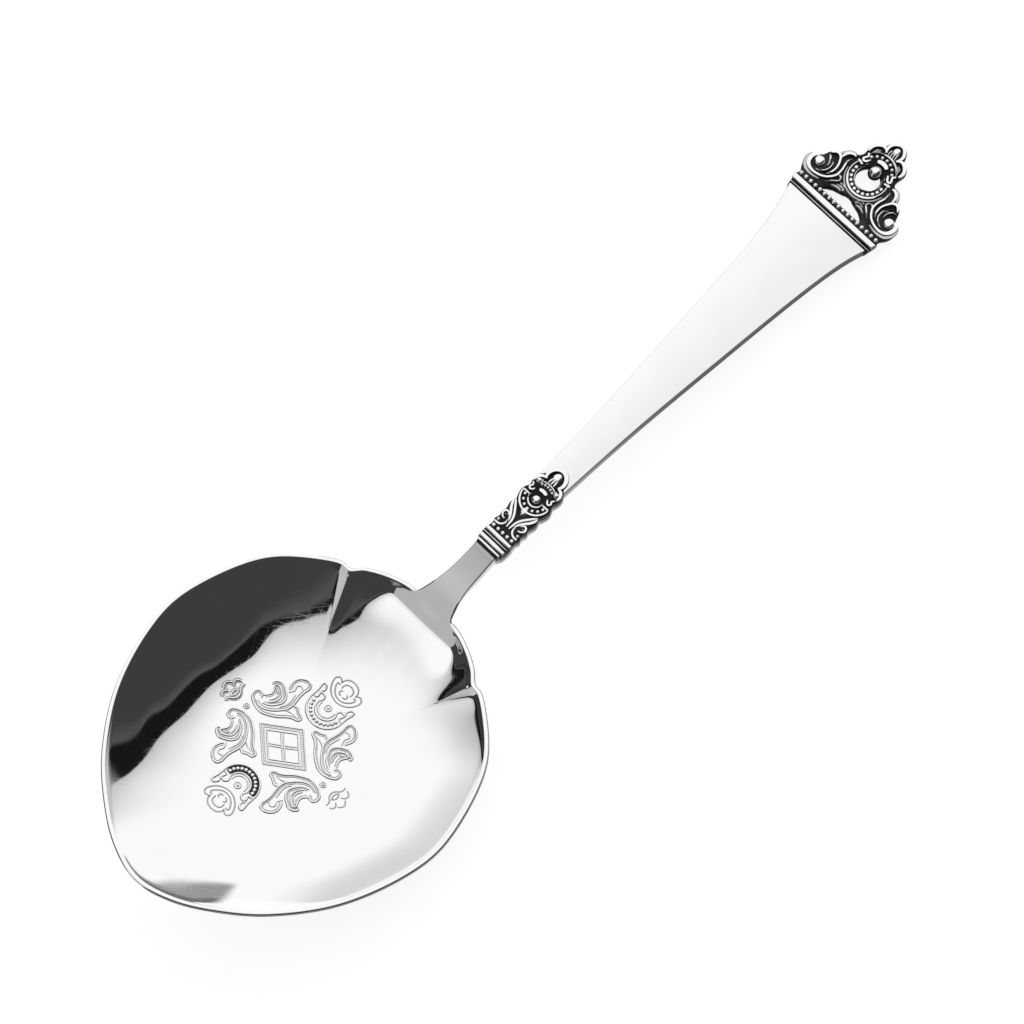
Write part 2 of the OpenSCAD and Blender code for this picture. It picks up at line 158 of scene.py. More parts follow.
def drawnCurve(tree, value, points, span):
    # a curve through points, whose coordinates run from -span to span
    n = node(tree, "FloatCurve", {"Value": calc(tree, "MULTIPLY_ADD", value, 0.5 / span, 0.5)})
    curve = n.mapping.curves[0]
    for _ in range(len(points) - 2):
        curve.points.new(0.5, 0.5)
    for spot, (x, y) in zip(sorted(curve.points, key=lambda s: s.location[0]), points):
        spot.location = (0.5 + x / span / 2, 0.5 + y / span / 2)
        spot.handle_type = "AUTO_CLAMPED"
    n.mapping.update()
    return calc(tree, "MULTIPLY_ADD", n.outputs[0], 2 * span, -span)


# studio: a white dome with black flags, two grey cards and a white floor
studio = {
    "turn": 45.54, "span": 130,
    # edge of the black flags seen from below: degrees from the zenith, right and away
    "flagEdge": [
        (-130, 120), (-60, 62), (-46, 45), (-41, 34), (-37, 22), (-34.7, 14.4), (-30.3, 2.9), (-23, -7.2),
        (-14.4, -13), (0, -15.9), (17.3, -13), (26, -7.2), (30.3, 0), (40, 7), (49, 13), (57.8, 18.8),
        (66.4, 27), (71, 38), (85, 75), (130, 125)],
    # the flags' edge is black up to here, and lightest just past it
    "bandEdge": [
        (-130, 114), (-60, 56), (-46, 39), (-41, 28), (-37, 16), (-34.7, 8), (-30.3, -3), (-23, -12.5),
        (-14.4, -17.5), (0, -18.5), (6.5, -18), (13.5, -16.6), (22, -15), (30, -12.5), (38, -3), (55, 7),
        (62, 12.9), (67, 17), (70.5, 23.7), (75, 29), (85, 62), (130, 112)],
    "black": 0.008, "flag": 0.046, "rim": 0.036, "rimWidth": (0.5, 5),
    "flagSoft": 0.4, "bandSoft": 0.7, "flagReach": (79, 83),
    # the white greys toward the flags: within how many degrees, how steeply, how much
    "fade": (32, 2.2, 0.45),
    # the high card: its grey and where that changes, then its sides
    "card": (0.62, 0.46), "cardGrade": (22, 42),
    "cardAlong": (23, 76), "cardAcross": (-30, 4), "cardSoft": (0.5, 0.5),
    # a far edge: middle, radius, softness inside and outside it, where it ends, how grey
    "farMiddle": (25, 30), "farRadius": 67, "farSoft": (7, 4), "farUntil": (-5, 10), "farShare": 0.3,
    # the low card: grey, degrees from the zenith with softness, and its two sides with theirs
    "low": 0.33, "lowFrom": (87.3, 1), "lowSector": (43, 80), "lowSoft": (1, 0.5),
}
studioFloor = {
    "size": 4, "drop": 0.0001, "tone": (0.32, 0.33), "rough": 0.9, "glow": 0.88,
    # painted dark reflection where the low card would hide the floor: its middle, and from where on, as
    # squared metres
    "cardMiddle": 0.045, "cardStart": (0.0025, 0.004),
    # the painted dark reflection beside the handle: from where on, in metres, and how dark
    "reflectionStrip": (0.004, 0.009), "reflectionStripShare": 0.95,
}


def turnedAxes(tree, place):
    # the studio's own right, away and up, turned from the table's axes
    inputs = {"Vector": place, "Angle": radians(studio["turn"])}
    turned = node(tree, "VectorRotate", inputs, rotation_type="Z_AXIS").outputs[0]
    return node(tree, "SeparateXYZ", {0: turned}).outputs


def squares(tree, a, b):
    return calc(tree, "ADD", calc(tree, "POWER", a, 2), calc(tree, "POWER", b, 2))


def inSector(tree, right, away):
    # 1 toward the grey card that stands low beyond the table's left side
    turn = product(tree, calc(tree, "ARCTAN2", away, right), 180 / pi)
    return between(tree, turn, *studio["lowSector"], *studio["lowSoft"])


def makeStudio():
    c = studio
    world = bpy.data.worlds.new("studio")
    scene.world = world
    world.use_nodes = True
    tree = world.node_tree
    axes = turnedAxes(tree, node(tree, "TexCoord").outputs["Generated"])
    flat = calc(tree, "SQRT", squares(tree, axes[0], axes[1]))
    angle = product(tree, calc(tree, "ARCCOSINE", axes[2]), 180 / pi)
    share = calc(tree, "DIVIDE", angle, calc(tree, "MAXIMUM", flat, 0.001))
    right, away = product(tree, axes[0], share), product(tree, axes[1], share)
    below = calc(tree, "SUBTRACT", drawnCurve(tree, right, c["flagEdge"], c["span"]), away)
    isFlag = step(tree, below, -c["flagSoft"], c["flagSoft"])
    isFlag = product(tree, isFlag, step(tree, angle, *c["flagReach"], 1, 0))
    past = calc(tree, "SUBTRACT", drawnCurve(tree, right, c["bandEdge"], c["span"]), away)
    grey = calc(tree, "ADD", step(tree, past, *c["rimWidth"], c["rim"], 0), c["flag"])
    isGrey = step(tree, past, -c["bandSoft"], c["bandSoft"])
    flag = mixed(tree, isGrey, c["black"], grey)
    # the white dome greys toward the flags
    reach, power, drop = c["fade"]
    near = node(tree, "Clamp", {0: calc(tree, "MULTIPLY_ADD", below, 1 / reach, 1)}).outputs[0]
    white = calc(tree, "MULTIPLY_ADD", calc(tree, "POWER", near, power), -drop, 1)
    dome = mixed(tree, isFlag, white, flag)
    # the high card stands diagonally
    diagonal = 0.7071
    along = product(tree, calc(tree, "ADD", right, away), -diagonal)
    across = product(tree, calc(tree, "SUBTRACT", right, away), diagonal)
    isCard = between(tree, along, *c["cardAlong"], *c["cardSoft"])
    isCard = product(tree, isCard, between(tree, across, *c["cardAcross"], *c["cardSoft"]))
    dome = mixed(tree, isCard, dome, step(tree, along, *c["cardGrade"], *c["card"]))
    # the dome greys again along a far edge that shows inside the dish's right rim
    (x, y), reach, (inside, outside) = c["farMiddle"], c["farRadius"], c["farSoft"]
    aside, beyond = calc(tree, "SUBTRACT", right, x), calc(tree, "SUBTRACT", away, y)
    out = calc(tree, "SQRT", squares(tree, aside, beyond))
    isFar = product(tree, step(tree, out, reach - inside, reach),
                    step(tree, out, reach, reach + outside, 1, 0),
                    step(tree, right, *c["farUntil"], c["farShare"], 0))
    dome = product(tree, dome, calc(tree, "SUBTRACT", 1, isFar))
    start, soft = c["lowFrom"]
    isLow = product(tree, inSector(tree, right, away), step(tree, angle, start - soft, start + soft))
    dome = mixed(tree, isLow, dome, c["low"])
    light = calc(tree, "MAXIMUM", dome, node(tree, "LightPath").outputs["Is Camera Ray"])
    tree.nodes["Background"].inputs["Color"].default_value = (1, 1, 1, 1)
    tree.links.new(light, tree.nodes["Background"].inputs["Strength"])


def makeFloor():
    c = studioFloor
    bpy.ops.mesh.primitive_plane_add(size=c["size"], location=(0, 0, -c["drop"]))
    floor = bpy.context.object
    floor.name = "floor"
    paper = bpy.data.materials.new("whitePaper")
    paper.use_nodes = True
    tree = paper.node_tree
    path = node(tree, "LightPath").outputs
    axes = turnedAxes(tree, node(tree, "TexCoord").outputs["Object"])
    # painted dark reflection: where the low card would hide it, the floor turns dark for the silver's glossy
    # rays, never for the camera
    right, away = (calc(tree, "ADD", axis, c["cardMiddle"]) for axis in (axes[0], axes[1]))
    paintedDarkReflection = product(tree, inSector(tree, right, away), path["Is Glossy Ray"],
                     step(tree, squares(tree, right, away), *c["cardStart"]))
    # and a painted dark reflection: along the right side of the handle the floor turns dark for glossy rays
    # only
    reflectionStrip = step(tree, calc(tree, "SUBTRACT", axes[0], axes[1]), *c["reflectionStrip"])
    reflectionStrip = product(tree, reflectionStrip, path["Is Glossy Ray"], c["reflectionStripShare"])
    paintedDarkReflection = calc(tree, "MAXIMUM", paintedDarkReflection, reflectionStrip)
    seen = calc(tree, "SUBTRACT", calc(tree, "MAXIMUM", path["Is Camera Ray"], path["Is Glossy Ray"]), paintedDarkReflection)
    plain, dark = ((tone, tone, tone, 1) for tone in c["tone"])
    paint = node(tree, "Mix", {0: paintedDarkReflection, 6: plain, 7: dark}, data_type="RGBA").outputs[2]
    surface = tree.nodes["Principled BSDF"]
    tree.links.new(paint, surface.inputs["Base Color"])
    surface.inputs["Roughness"].default_value = c["rough"]
    surface.inputs["Specular IOR Level"].default_value = 0
    surface.inputs["Emission Color"].default_value = (1, 1, 1, 1)
    tree.links.new(product(tree, seen, c["glow"]), surface.inputs["Emission Strength"])
    floor.data.materials.append(paper)


makeStudio()
makeFloor()
print("studio made")


# the body: dish, neck and strap in one skin, in millimetres
body = {
    "gauge": 1.4, "depth": 8.4, "flatShare": 0.34, "power": 2, "ease": 0.5, "middleX": -33.84,
    "side": [(-69.98, -7.2), (-72, 0), (-69.98, 7.2), (-66.17, 13.4), (-59.4, 21.1), (-48.7, 28.6),
             (-36, 33), (-25.1, 33.5), (-10.3, 28.6), (-1.6, 19.9), (0.36, 16)],
    "lobe": [
        (-1.6, 19.2), (0.36, 16), (3.46, 11.4), (5.3, 6.8), (5.75, 4.4), (6.1, 2.9), (6.19, 1.45), (6.19, 0)],
    "sideSteps": 32, "fluteSteps": (2.1, 1), "lobeSteps": (1.4, 1.6, 2, 2.5, 3),
    # rings of the dish: below 0 on the flat, 0 at its edge, 1 at the rim
    "levels": [-0.55, -0.2, 0, 0.14, 0.28, 0.42, 0.55, 0.67, 0.78, 0.88, 0.94, 1],
    # flutes, left and right: the right one is shallower and shorter
    "fluteDepth": (0.95, 0.6), "fluteFoot": (0.5, 0.72), "fluteLean": (1, 0.5), "fluteLeast": 0.12,
    "creaseRings": (5, 7),
    # lip: how far out from the wall's top and how far up
    "lip": [(0.3, 0.25), (0.85, 0.28), (1.3, -0.15)], "lipReach": 1.3,
    # straight fold where the fan of the neck starts: x, how it spreads, how far down it presses the wall
    "fanX": 2.3, "fanSpread": 18, "fanPress": 0.4, "fanSide": 9.5,
    "fanLevels": (0.8, 0.88, 0.97), "foldCrease": 0.9,
    "handleFrom": 7, "neckColumns": 3, "edge": 0.2, "edgeShape": 0.6,
    "sway": -0.3, "swayFrom": (7, 14), "swayUntil": (92, 106),
    # handle stations: face x and z, half width, back x and z
    "stations": [
        (6.5, 11.3, 3.9, 5, 6.8), (8.4, 12.6, 3.05, 7.6, 9.2), (10.7, 14.1, 2.62, 10.9, 10.8),
        (13.5, 15.86, 2.48, 14, 12.3), (16.3, 17.61, 2.42, 16.9, 13.6), (17.3, 18.2, 2.4, 17.9, 14),
        (18.3, 18.38, 2.4, 18.9, 14.4), (25.5, 20.3, 2.6, 26, 16.7), (38, 22.8, 3.1, 38.3, 19.4),
        (50, 24.9, 3.62, 50, 21.6), (60, 26.3, 4.25, 60, 23.1), (72, 27.9, 5.2, 72, 24.8),
        (84, 29.3, 6.05, 84, 26.3), (92, 30.3, 6.75, 92, 27.4), (98.5, 31, 7.6, 98.5, 28.2),
        (102.6, 31.45, 8.4, 102.6, 28.8), (105.3, 31.75, 9.15, 105.3, 29.3), (106.7, 31.9, 9.6, 106.7, 29.6)],
    # painted shade on the strap, darker toward its right side, whose half width starts at strapHalf and
    # spreads
    "strapShade": {"most": 0.1, "from": (20, 28), "across": 0.9, "strapX": 17, "strapHalf": 2.4, "spread": 0.058},
}


def halfOutline():
    # rim points from the tip to the middle of the neck, closer together at the flute
    side, lobe, n, parts = body["side"], body["lobe"], body["sideSteps"], 400
    fine = [curveAt(side, 1 + (len(side) - 2) * k / parts) for k in range(parts + 1)]
    run = [0]
    for a, b in zip(fine, fine[1:]):
        run.append(run[-1] + hypot(b[0] - a[0], b[1] - a[1]))
    near, nearer = body["fluteSteps"]
    goals = [(run[-1] - near) * k / n for k in range(n + 1)] + [run[-1] - nearer, run[-1]]
    points = []
    for g in goals:
        k = next((i for i in range(1, parts + 1) if run[i] >= g - 1e-9), parts)
        f = (g - run[k - 1]) / (run[k] - run[k - 1])
        points.append([a + (b - a) * f for a, b in zip(fine[k - 1], fine[k])])
    flute = len(points) - 1
    points += [curveAt(lobe, t) for t in body["lobeSteps"]] + [list(p) for p in lobe[4:]]
    return points, flute


def wallPoint(p, u, depth, pinch, fan):
    # a point of the dish: u is 0 at the edge of the flat and 1 at the rim, below 0 inside the flat
    mx, g, flat = body["middleX"], body["gauge"], body["flatShare"]
    power, ease = body["power"], body["ease"]
    dx, dy = p[0] - mx, p[1]
    r = hypot(dx, dy) - body["lipReach"]
    ox, oy = dx / hypot(dx, dy), dy / hypot(dx, dy)
    if u < 0:
        inR, z, slope = r * flat * (1 + u), g, 0
    else:
        inR = r * (flat + (1 - flat) * u) - pinch
        z = g + body["depth"] * u ** power * (1 + ease * (1 - u))
        climb = u ** (power - 1) * (power * (1 + ease * (1 - u)) - ease * u)
        slope = atan(body["depth"] * climb / (r * (1 - flat)))
    low, foldAt, high = body["fanLevels"]
    if fan and depth == 0 and low < u < high:
        share = (body["fanX"] - mx + (u - foldAt) * body["fanSpread"]) / dx
        return Vector((mx + dx * share, dy * share, z - body["fanPress"] * (1 if u <= foldAt else 0.5)))
    out = inR + depth * sin(slope)
    return Vector((mx + ox * out, oy * out, z - depth * cos(slope)))


def opened(piece):
    bm = bmesh.from_edit_mesh(piece.data)
    return bm, bm.verts.layers.int["column"], bm.verts.layers.int["ring"]


def addStrapShade(piece):
    # painted shade on the strap, strongest toward its right edge
    strapShade, oxideAndShade = body["strapShade"], piece.data.attributes.new("oxideAndShade", "FLOAT", "POINT")
    start, full = strapShade["from"]
    for v in piece.data.vertices:
        half = strapShade["strapHalf"] + (v.co.x - strapShade["strapX"]) * strapShade["spread"]
        across = v.co.y / half if v.co.x > start else 1
        share = smooth(strapShade["across"], -strapShade["across"], across)
        oxideAndShade.data[v.index].value = strapShade["most"] * share * smooth(start, full, v.co.x)


def makeBody():
    c = body
    half, flute = halfOutline()
    last = len(half) - 1
    outline = half + [[x, -y] for x, y in half[last - 1:0:-1]]
    count = len(outline)
    levels, g = c["levels"], c["gauge"]
    rings = [(u, 0, 0, 0) for u in levels] + [(1, 0, out, up) for out, up in c["lip"]]
    rings += [(u, g, 0, 0) for u in reversed(levels)]
    rimInner = len(levels) - 1
    lipEnd = rimInner + len(c["lip"])
    foldRing = levels.index(c["fanLevels"][1])
    neckSide = c["neckColumns"]

    def fold(i):
        return min(i, count - i)  # the same column on the drawn half

    def fluteGrowth(i, u):
        foot = c["fluteFoot"][i > last]
        return max(0, u - foot) / (1 - foot)

    def pinchAt(i, u):
        # the flute is a facet that turns in to its crease and narrows to a point down the wall
        back = flute - fold(i)
        if back not in (0, 1):
            return 0
        return c["fluteDepth"][i > last] * fluteGrowth(i, u) * c["fluteLean"][back]

    def pointAt(i, u):
        j = fold(i)
        if flute - j not in (1, 2):
            return outline[i]
        share = max(c["fluteLeast"], fluteGrowth(i, u))
        x, y = (a + (b - a) * share for a, b in zip(half[flute], half[j]))
        return [x, y if i <= last else -y]

    def inFan(i):
        return outline[i][0] > 0 and abs(outline[i][1]) < c["fanSide"]

    def ringPoint(i, k):
        u, depth, out, up = rings[k]
        spot = wallPoint(pointAt(i, u), u, depth, pinchAt(i, u), inFan(i))
        away = Vector((outline[i][0] - c["middleX"], outline[i][1], 0)).normalized()
        return spot + away * out + Vector((0, 0, up))

    deselectAll()
    bpy.ops.mesh.primitive_circle_add(vertices=count, radius=20, fill_type="NOTHING")
    piece = bpy.context.object
    piece.name = "serverBody"
    bpy.ops.object.mode_set(mode="EDIT")
    bm = bmesh.from_edit_mesh(piece.data)
    column, ring = bm.verts.layers.int.new("column"), bm.verts.layers.int.new("ring")
    bm.verts.ensure_lookup_table()
    for i, v in enumerate(bm.verts):
        v[column], v[ring] = i, 0
        v.co = ringPoint(i, 0)
    bmesh.update_edit_mesh(piece.data)
    bpy.ops.mesh.select_all(action="SELECT")
    for k in range(1, len(rings)):
        bpy.ops.mesh.extrude_edges_move()
        bm, column, ring = opened(piece)
        for v in bm.verts:
            if v.select:
                v[ring] = k
                v.co = ringPoint(v[column], k)
        bmesh.update_edit_mesh(piece.data)
    bpy.ops.mesh.edge_face_add()  # the underside's middle
    bpy.ops.mesh.select_all(action="DESELECT")
    bm, column, ring = opened(piece)
    for e in bm.edges:
        e.select = all(v[ring] == 0 for v in e.verts)
    bmesh.update_edit_mesh(piece.data)
    bpy.ops.mesh.edge_face_add()  # the inside's middle

    # the handle grows out of the rim between the two neck corners
    bpy.ops.mesh.select_all(action="DESELECT")
    bpy.ops.mesh.select_mode(type="FACE")
    bm, column, ring = opened(piece)
    for f in bm.faces:
        onLip = all(rimInner <= v[ring] <= lipEnd + 1 for v in f.verts)
        f.select = onLip and all(abs(v[column] - last) <= neckSide for v in f.verts)
    bm.select_flush_mode()
    bmesh.update_edit_mesh(piece.data)
    for x, z, w, bx, bz in c["stations"]:
        sway = c["sway"] * smooth(*c["swayFrom"], x) * (1 - smooth(*c["swayUntil"], x))
        bpy.ops.mesh.extrude_region_move()
        bm, column, ring = opened(piece)
        for v in bm.verts:
            if v.select:
                f = (v[ring] - rimInner) / (lipEnd + 1 - rimInner)
                v.co = (x + (bx - x) * f, w * (last - v[column]) / neckSide + sway, z + (bz - z) * f)
        bmesh.update_edit_mesh(piece.data)

    # its long edges are rounded, then flutes and fold are creased
    bpy.ops.mesh.select_all(action="SELECT")
    bpy.ops.mesh.normals_make_consistent(inside=False)
    bpy.ops.mesh.select_all(action="DESELECT")
    bpy.ops.mesh.select_mode(type="EDGE")
    bm = bmesh.from_edit_mesh(piece.data)
    for e in bm.edges:
        onHandle = min(v.co.x for v in e.verts) > c["handleFrom"]
        e.select = onHandle and len(e.link_faces) == 2 and e.calc_face_angle() > sharpAngle
    bmesh.update_edit_mesh(piece.data)
    bpy.ops.mesh.bevel(offset=c["edge"], segments=2, profile=c["edgeShape"], affect="EDGES")
    bm, column, ring = opened(piece)
    crease = bm.edges.layers.float.new("crease_edge")
    for e in bm.edges:
        a, b = e.verts
        if a.co.x > c["handleFrom"] or max(a[ring], b[ring]) > rimInner:
            continue
        if a[column] == b[column] and fold(a[column]) in (flute - 2, flute):
            e[crease] = smooth(*c["creaseRings"], min(a[ring], b[ring]))
        if a[ring] == b[ring] == foldRing and inFan(a[column]) and inFan(b[column]):
            e[crease] = c["foldCrease"]
    bmesh.update_edit_mesh(piece.data)
    bpy.ops.object.mode_set(mode="OBJECT")
    finer = piece.modifiers.new("finer", "SUBSURF")
    finer.levels = finer.render_levels = 2
    applyModifiers(piece)
    bpy.ops.object.shade_smooth()
    addStrapShade(piece)
    return piece


serverBody = makeBody()
print("body made", len(serverBody.data.polygons))


# ornament tools: pieces drawn level in millimetres, z up from the ground they stand on
sunk = 0.02  # how deep raised lines and blocks sit in it


def softLine(points, steps=4):
    return [curveAt(points, k / steps) for k in range((len(points) - 1) * steps + 1)]


def arcLine(mid, radius, first, final, count):
    turns = [radians(first + (final - first) * k / count) for k in range(count + 1)]
    return [(mid[0] + radius * cos(t), mid[1] + radius * sin(t)) for t in turns]


def curveMesh(name, lines, **settings):
    # splines through points (x, y, radius), made one mesh
    data = bpy.data.curves.new(name, "CURVE")
    for key, value in settings.items():
        setattr(data, key, value)
    for points in lines:
        spline = data.splines.new("POLY")
        spline.points.add(len(points) - 1)
        spline.use_cyclic_u = data.dimensions == "2D"
        for spot, (x, y, radius) in zip(spline.points, points):
            spot.co, spot.radius = (x, y, 0, 1), radius
    piece = bpy.data.objects.new(name, data)
    scene.collection.objects.link(piece)
    take(piece)
    bpy.ops.object.convert(target="MESH")
    return bpy.context.object


def drawLines(name, lines, width, height, taper):
    # half-round raised lines that thin out to taper at both ends
    tapered = []
    for points in lines:
        last = len(points) - 1
        tapered.append([(x, y, taper + (1 - taper) * sin(pi * k / last) ** 0.6)
                        for k, (x, y) in enumerate(points)])
    piece = curveMesh(name, tapered, dimensions="3D", bevel_depth=width / 2, bevel_resolution=2,
                      use_fill_caps=True)
    piece.scale.z = 2 * height / width
    settle()
    return piece


def joined(name, pieces):
    deselectAll()
    for p in pieces:
        p.select_set(True)
    bpy.context.view_layer.objects.active = pieces[0]
    bpy.ops.object.join()
    pieces[0].name = name
    return pieces[0]


def copied(piece, places):
    # one copy with its own mesh at each (x, y, turn); the original goes
    copies = []
    for x, y, turn in places:
        twin = piece.copy()
        twin.data = piece.data.copy()
        scene.collection.objects.link(twin)
        turned = Matrix.LocRotScale((x, y, 0), Matrix.Rotation(turn, 3, "Z"), (1, 1, 1))
        twin.matrix_world = turned @ piece.matrix_world
        take(twin)
        settle()
        copies.append(twin)
    name = piece.name
    bpy.data.objects.remove(piece)
    return joined(name, copies)


def ballAt(name, spot, radius, stretch=(1, 1, 1), around=32, rings=18):
    bpy.ops.mesh.primitive_uv_sphere_add(segments=around, ring_count=rings, radius=radius, location=spot)
    ball = bpy.context.object
    ball.name, ball.scale = name, stretch
    settle()
    return ball


def beadsAt(name, spots, radius, height, buried=0.2):
    # round beads with a soft shoulder, a little of each in its ground
    middle, tall = height * (1 - buried) / 2, height * (1 + buried) / 2 / radius
    bead = ballAt(name, (0, 0, middle), radius, (1, 1, tall), 14, 9)
    return copied(bead, [(x, y, 0) for x, y in spots])


def dropOn(piece, ground):
    # lifts each point by the height of the ground under it
    above, down = 60, Vector((0, 0, -1))
    for v in piece.data.vertices:
        spot = ground.ray_cast(Vector((v.co.x, v.co.y, above)), down)[1]
        v.co.z += spot.z


def finished(piece, local=None):
    take(piece)
    bpy.ops.object.shade_smooth_by_angle(angle=sharpAngle)
    lay(piece, local)
    return piece


def strokes(name, lines, height, fuller=1.15, spread=0.09, shoulder=0.14):
    # lines raised to one height with rounded shoulders, each point (x, y, width)
    fine = [[(x, y, w * fuller + spread) for x, y, w in softLine(points, 3)] for points in lines]
    piece = curveMesh(name, fine, dimensions="3D", bevel_depth=0.5, bevel_resolution=2, use_fill_caps=True)
    for v in piece.data.vertices:
        v.co.z = copysign(height * (1 - exp(-abs(v.co.z) / shoulder)), v.co.z)
    return piece


def bothSides(lines):
    return lines + [[(p[0], -p[1], *p[2:]) for p in line] for line in lines]


def acrossMiddle(points):
    # a line that ends on the middle, then its mirror image back
    return points + [(p[0], -p[1], *p[2:]) for p in points[-2::-1]]


def rowAcross(x, reach, count):
    return [(x, reach * (2 * k / (count - 1) - 1)) for k in range(count)]


def cutPlate(name, rings, low, high, edge):
    # plate between two heights from an outline and its openings, with rounded edges
    closed = [[(x, y, 1) for x, y in points] for points in rings]
    piece = curveMesh(name, closed, dimensions="2D", fill_mode="BOTH", extrude=(high - low) / 2 - edge,
                      offset=-edge, bevel_depth=edge, bevel_resolution=1)
    piece.location.z = (low + high) / 2
    bpy.ops.object.transform_apply(location=True, rotation=False, scale=False)
    bpy.ops.object.mode_set(mode="EDIT")
    bpy.ops.mesh.select_all(action="SELECT")
    bpy.ops.mesh.remove_doubles(threshold=0.001)
    bpy.ops.mesh.normals_make_consistent(inside=False)
    bpy.ops.object.mode_set(mode="OBJECT")
    return piece


def blocksAt(name, places, size, height, edge=0.13):
    # small square beads, each place (x, y, turn)
    bpy.ops.mesh.primitive_cube_add(size=1)
    block = bpy.context.object
    block.name = name
    block.scale = (*size, height * 2)
    settle()
    rounded = block.modifiers.new("rounded", "BEVEL")
    rounded.width, rounded.segments = edge, 3
    applyModifiers(block)
    return copied(block, places)


def raised(piece, by):
    for v in piece.data.vertices:
        v.co.z += by
    return piece


def noteOxideAndShade(piece, ground, reach, underside=None, soft=0.15, sideShare=0.3):
    # 1 in the struck ground, 0 on the crests: where the silver is darkened by oxide and by painted shade at
    #                                          the foot of raised parts, less so on the sides
    oxideAndShade = piece.data.attributes.new("oxideAndShade", "FLOAT", "POINT")
    for v in piece.data.vertices:
        value = 1 - smooth(0, reach, v.co.z - ground)
        if underside is not None:
            value *= sideShare + (1 - sideShare) * smooth(underside - soft, underside, v.co.z)
        oxideAndShade.data[v.index].value = value


def arcPlaces(mid, radius, first, final, count):
    return [(x, y, atan2(y - mid[1], x - mid[0])) for x, y in arcLine(mid, radius, first, final, count - 1)]


def ringLine(mid, radius, first, final, width, count=24, ends=0.6):
    # an arc whose width thins out toward both ends
    line = arcLine(mid, radius, first, final, count)
    widths = [width * (ends + (1 - ends) * sin(pi * k / count) ** 0.5) for k in range(count + 1)]
    return [(x, y, w) for (x, y), w in zip(line, widths)]


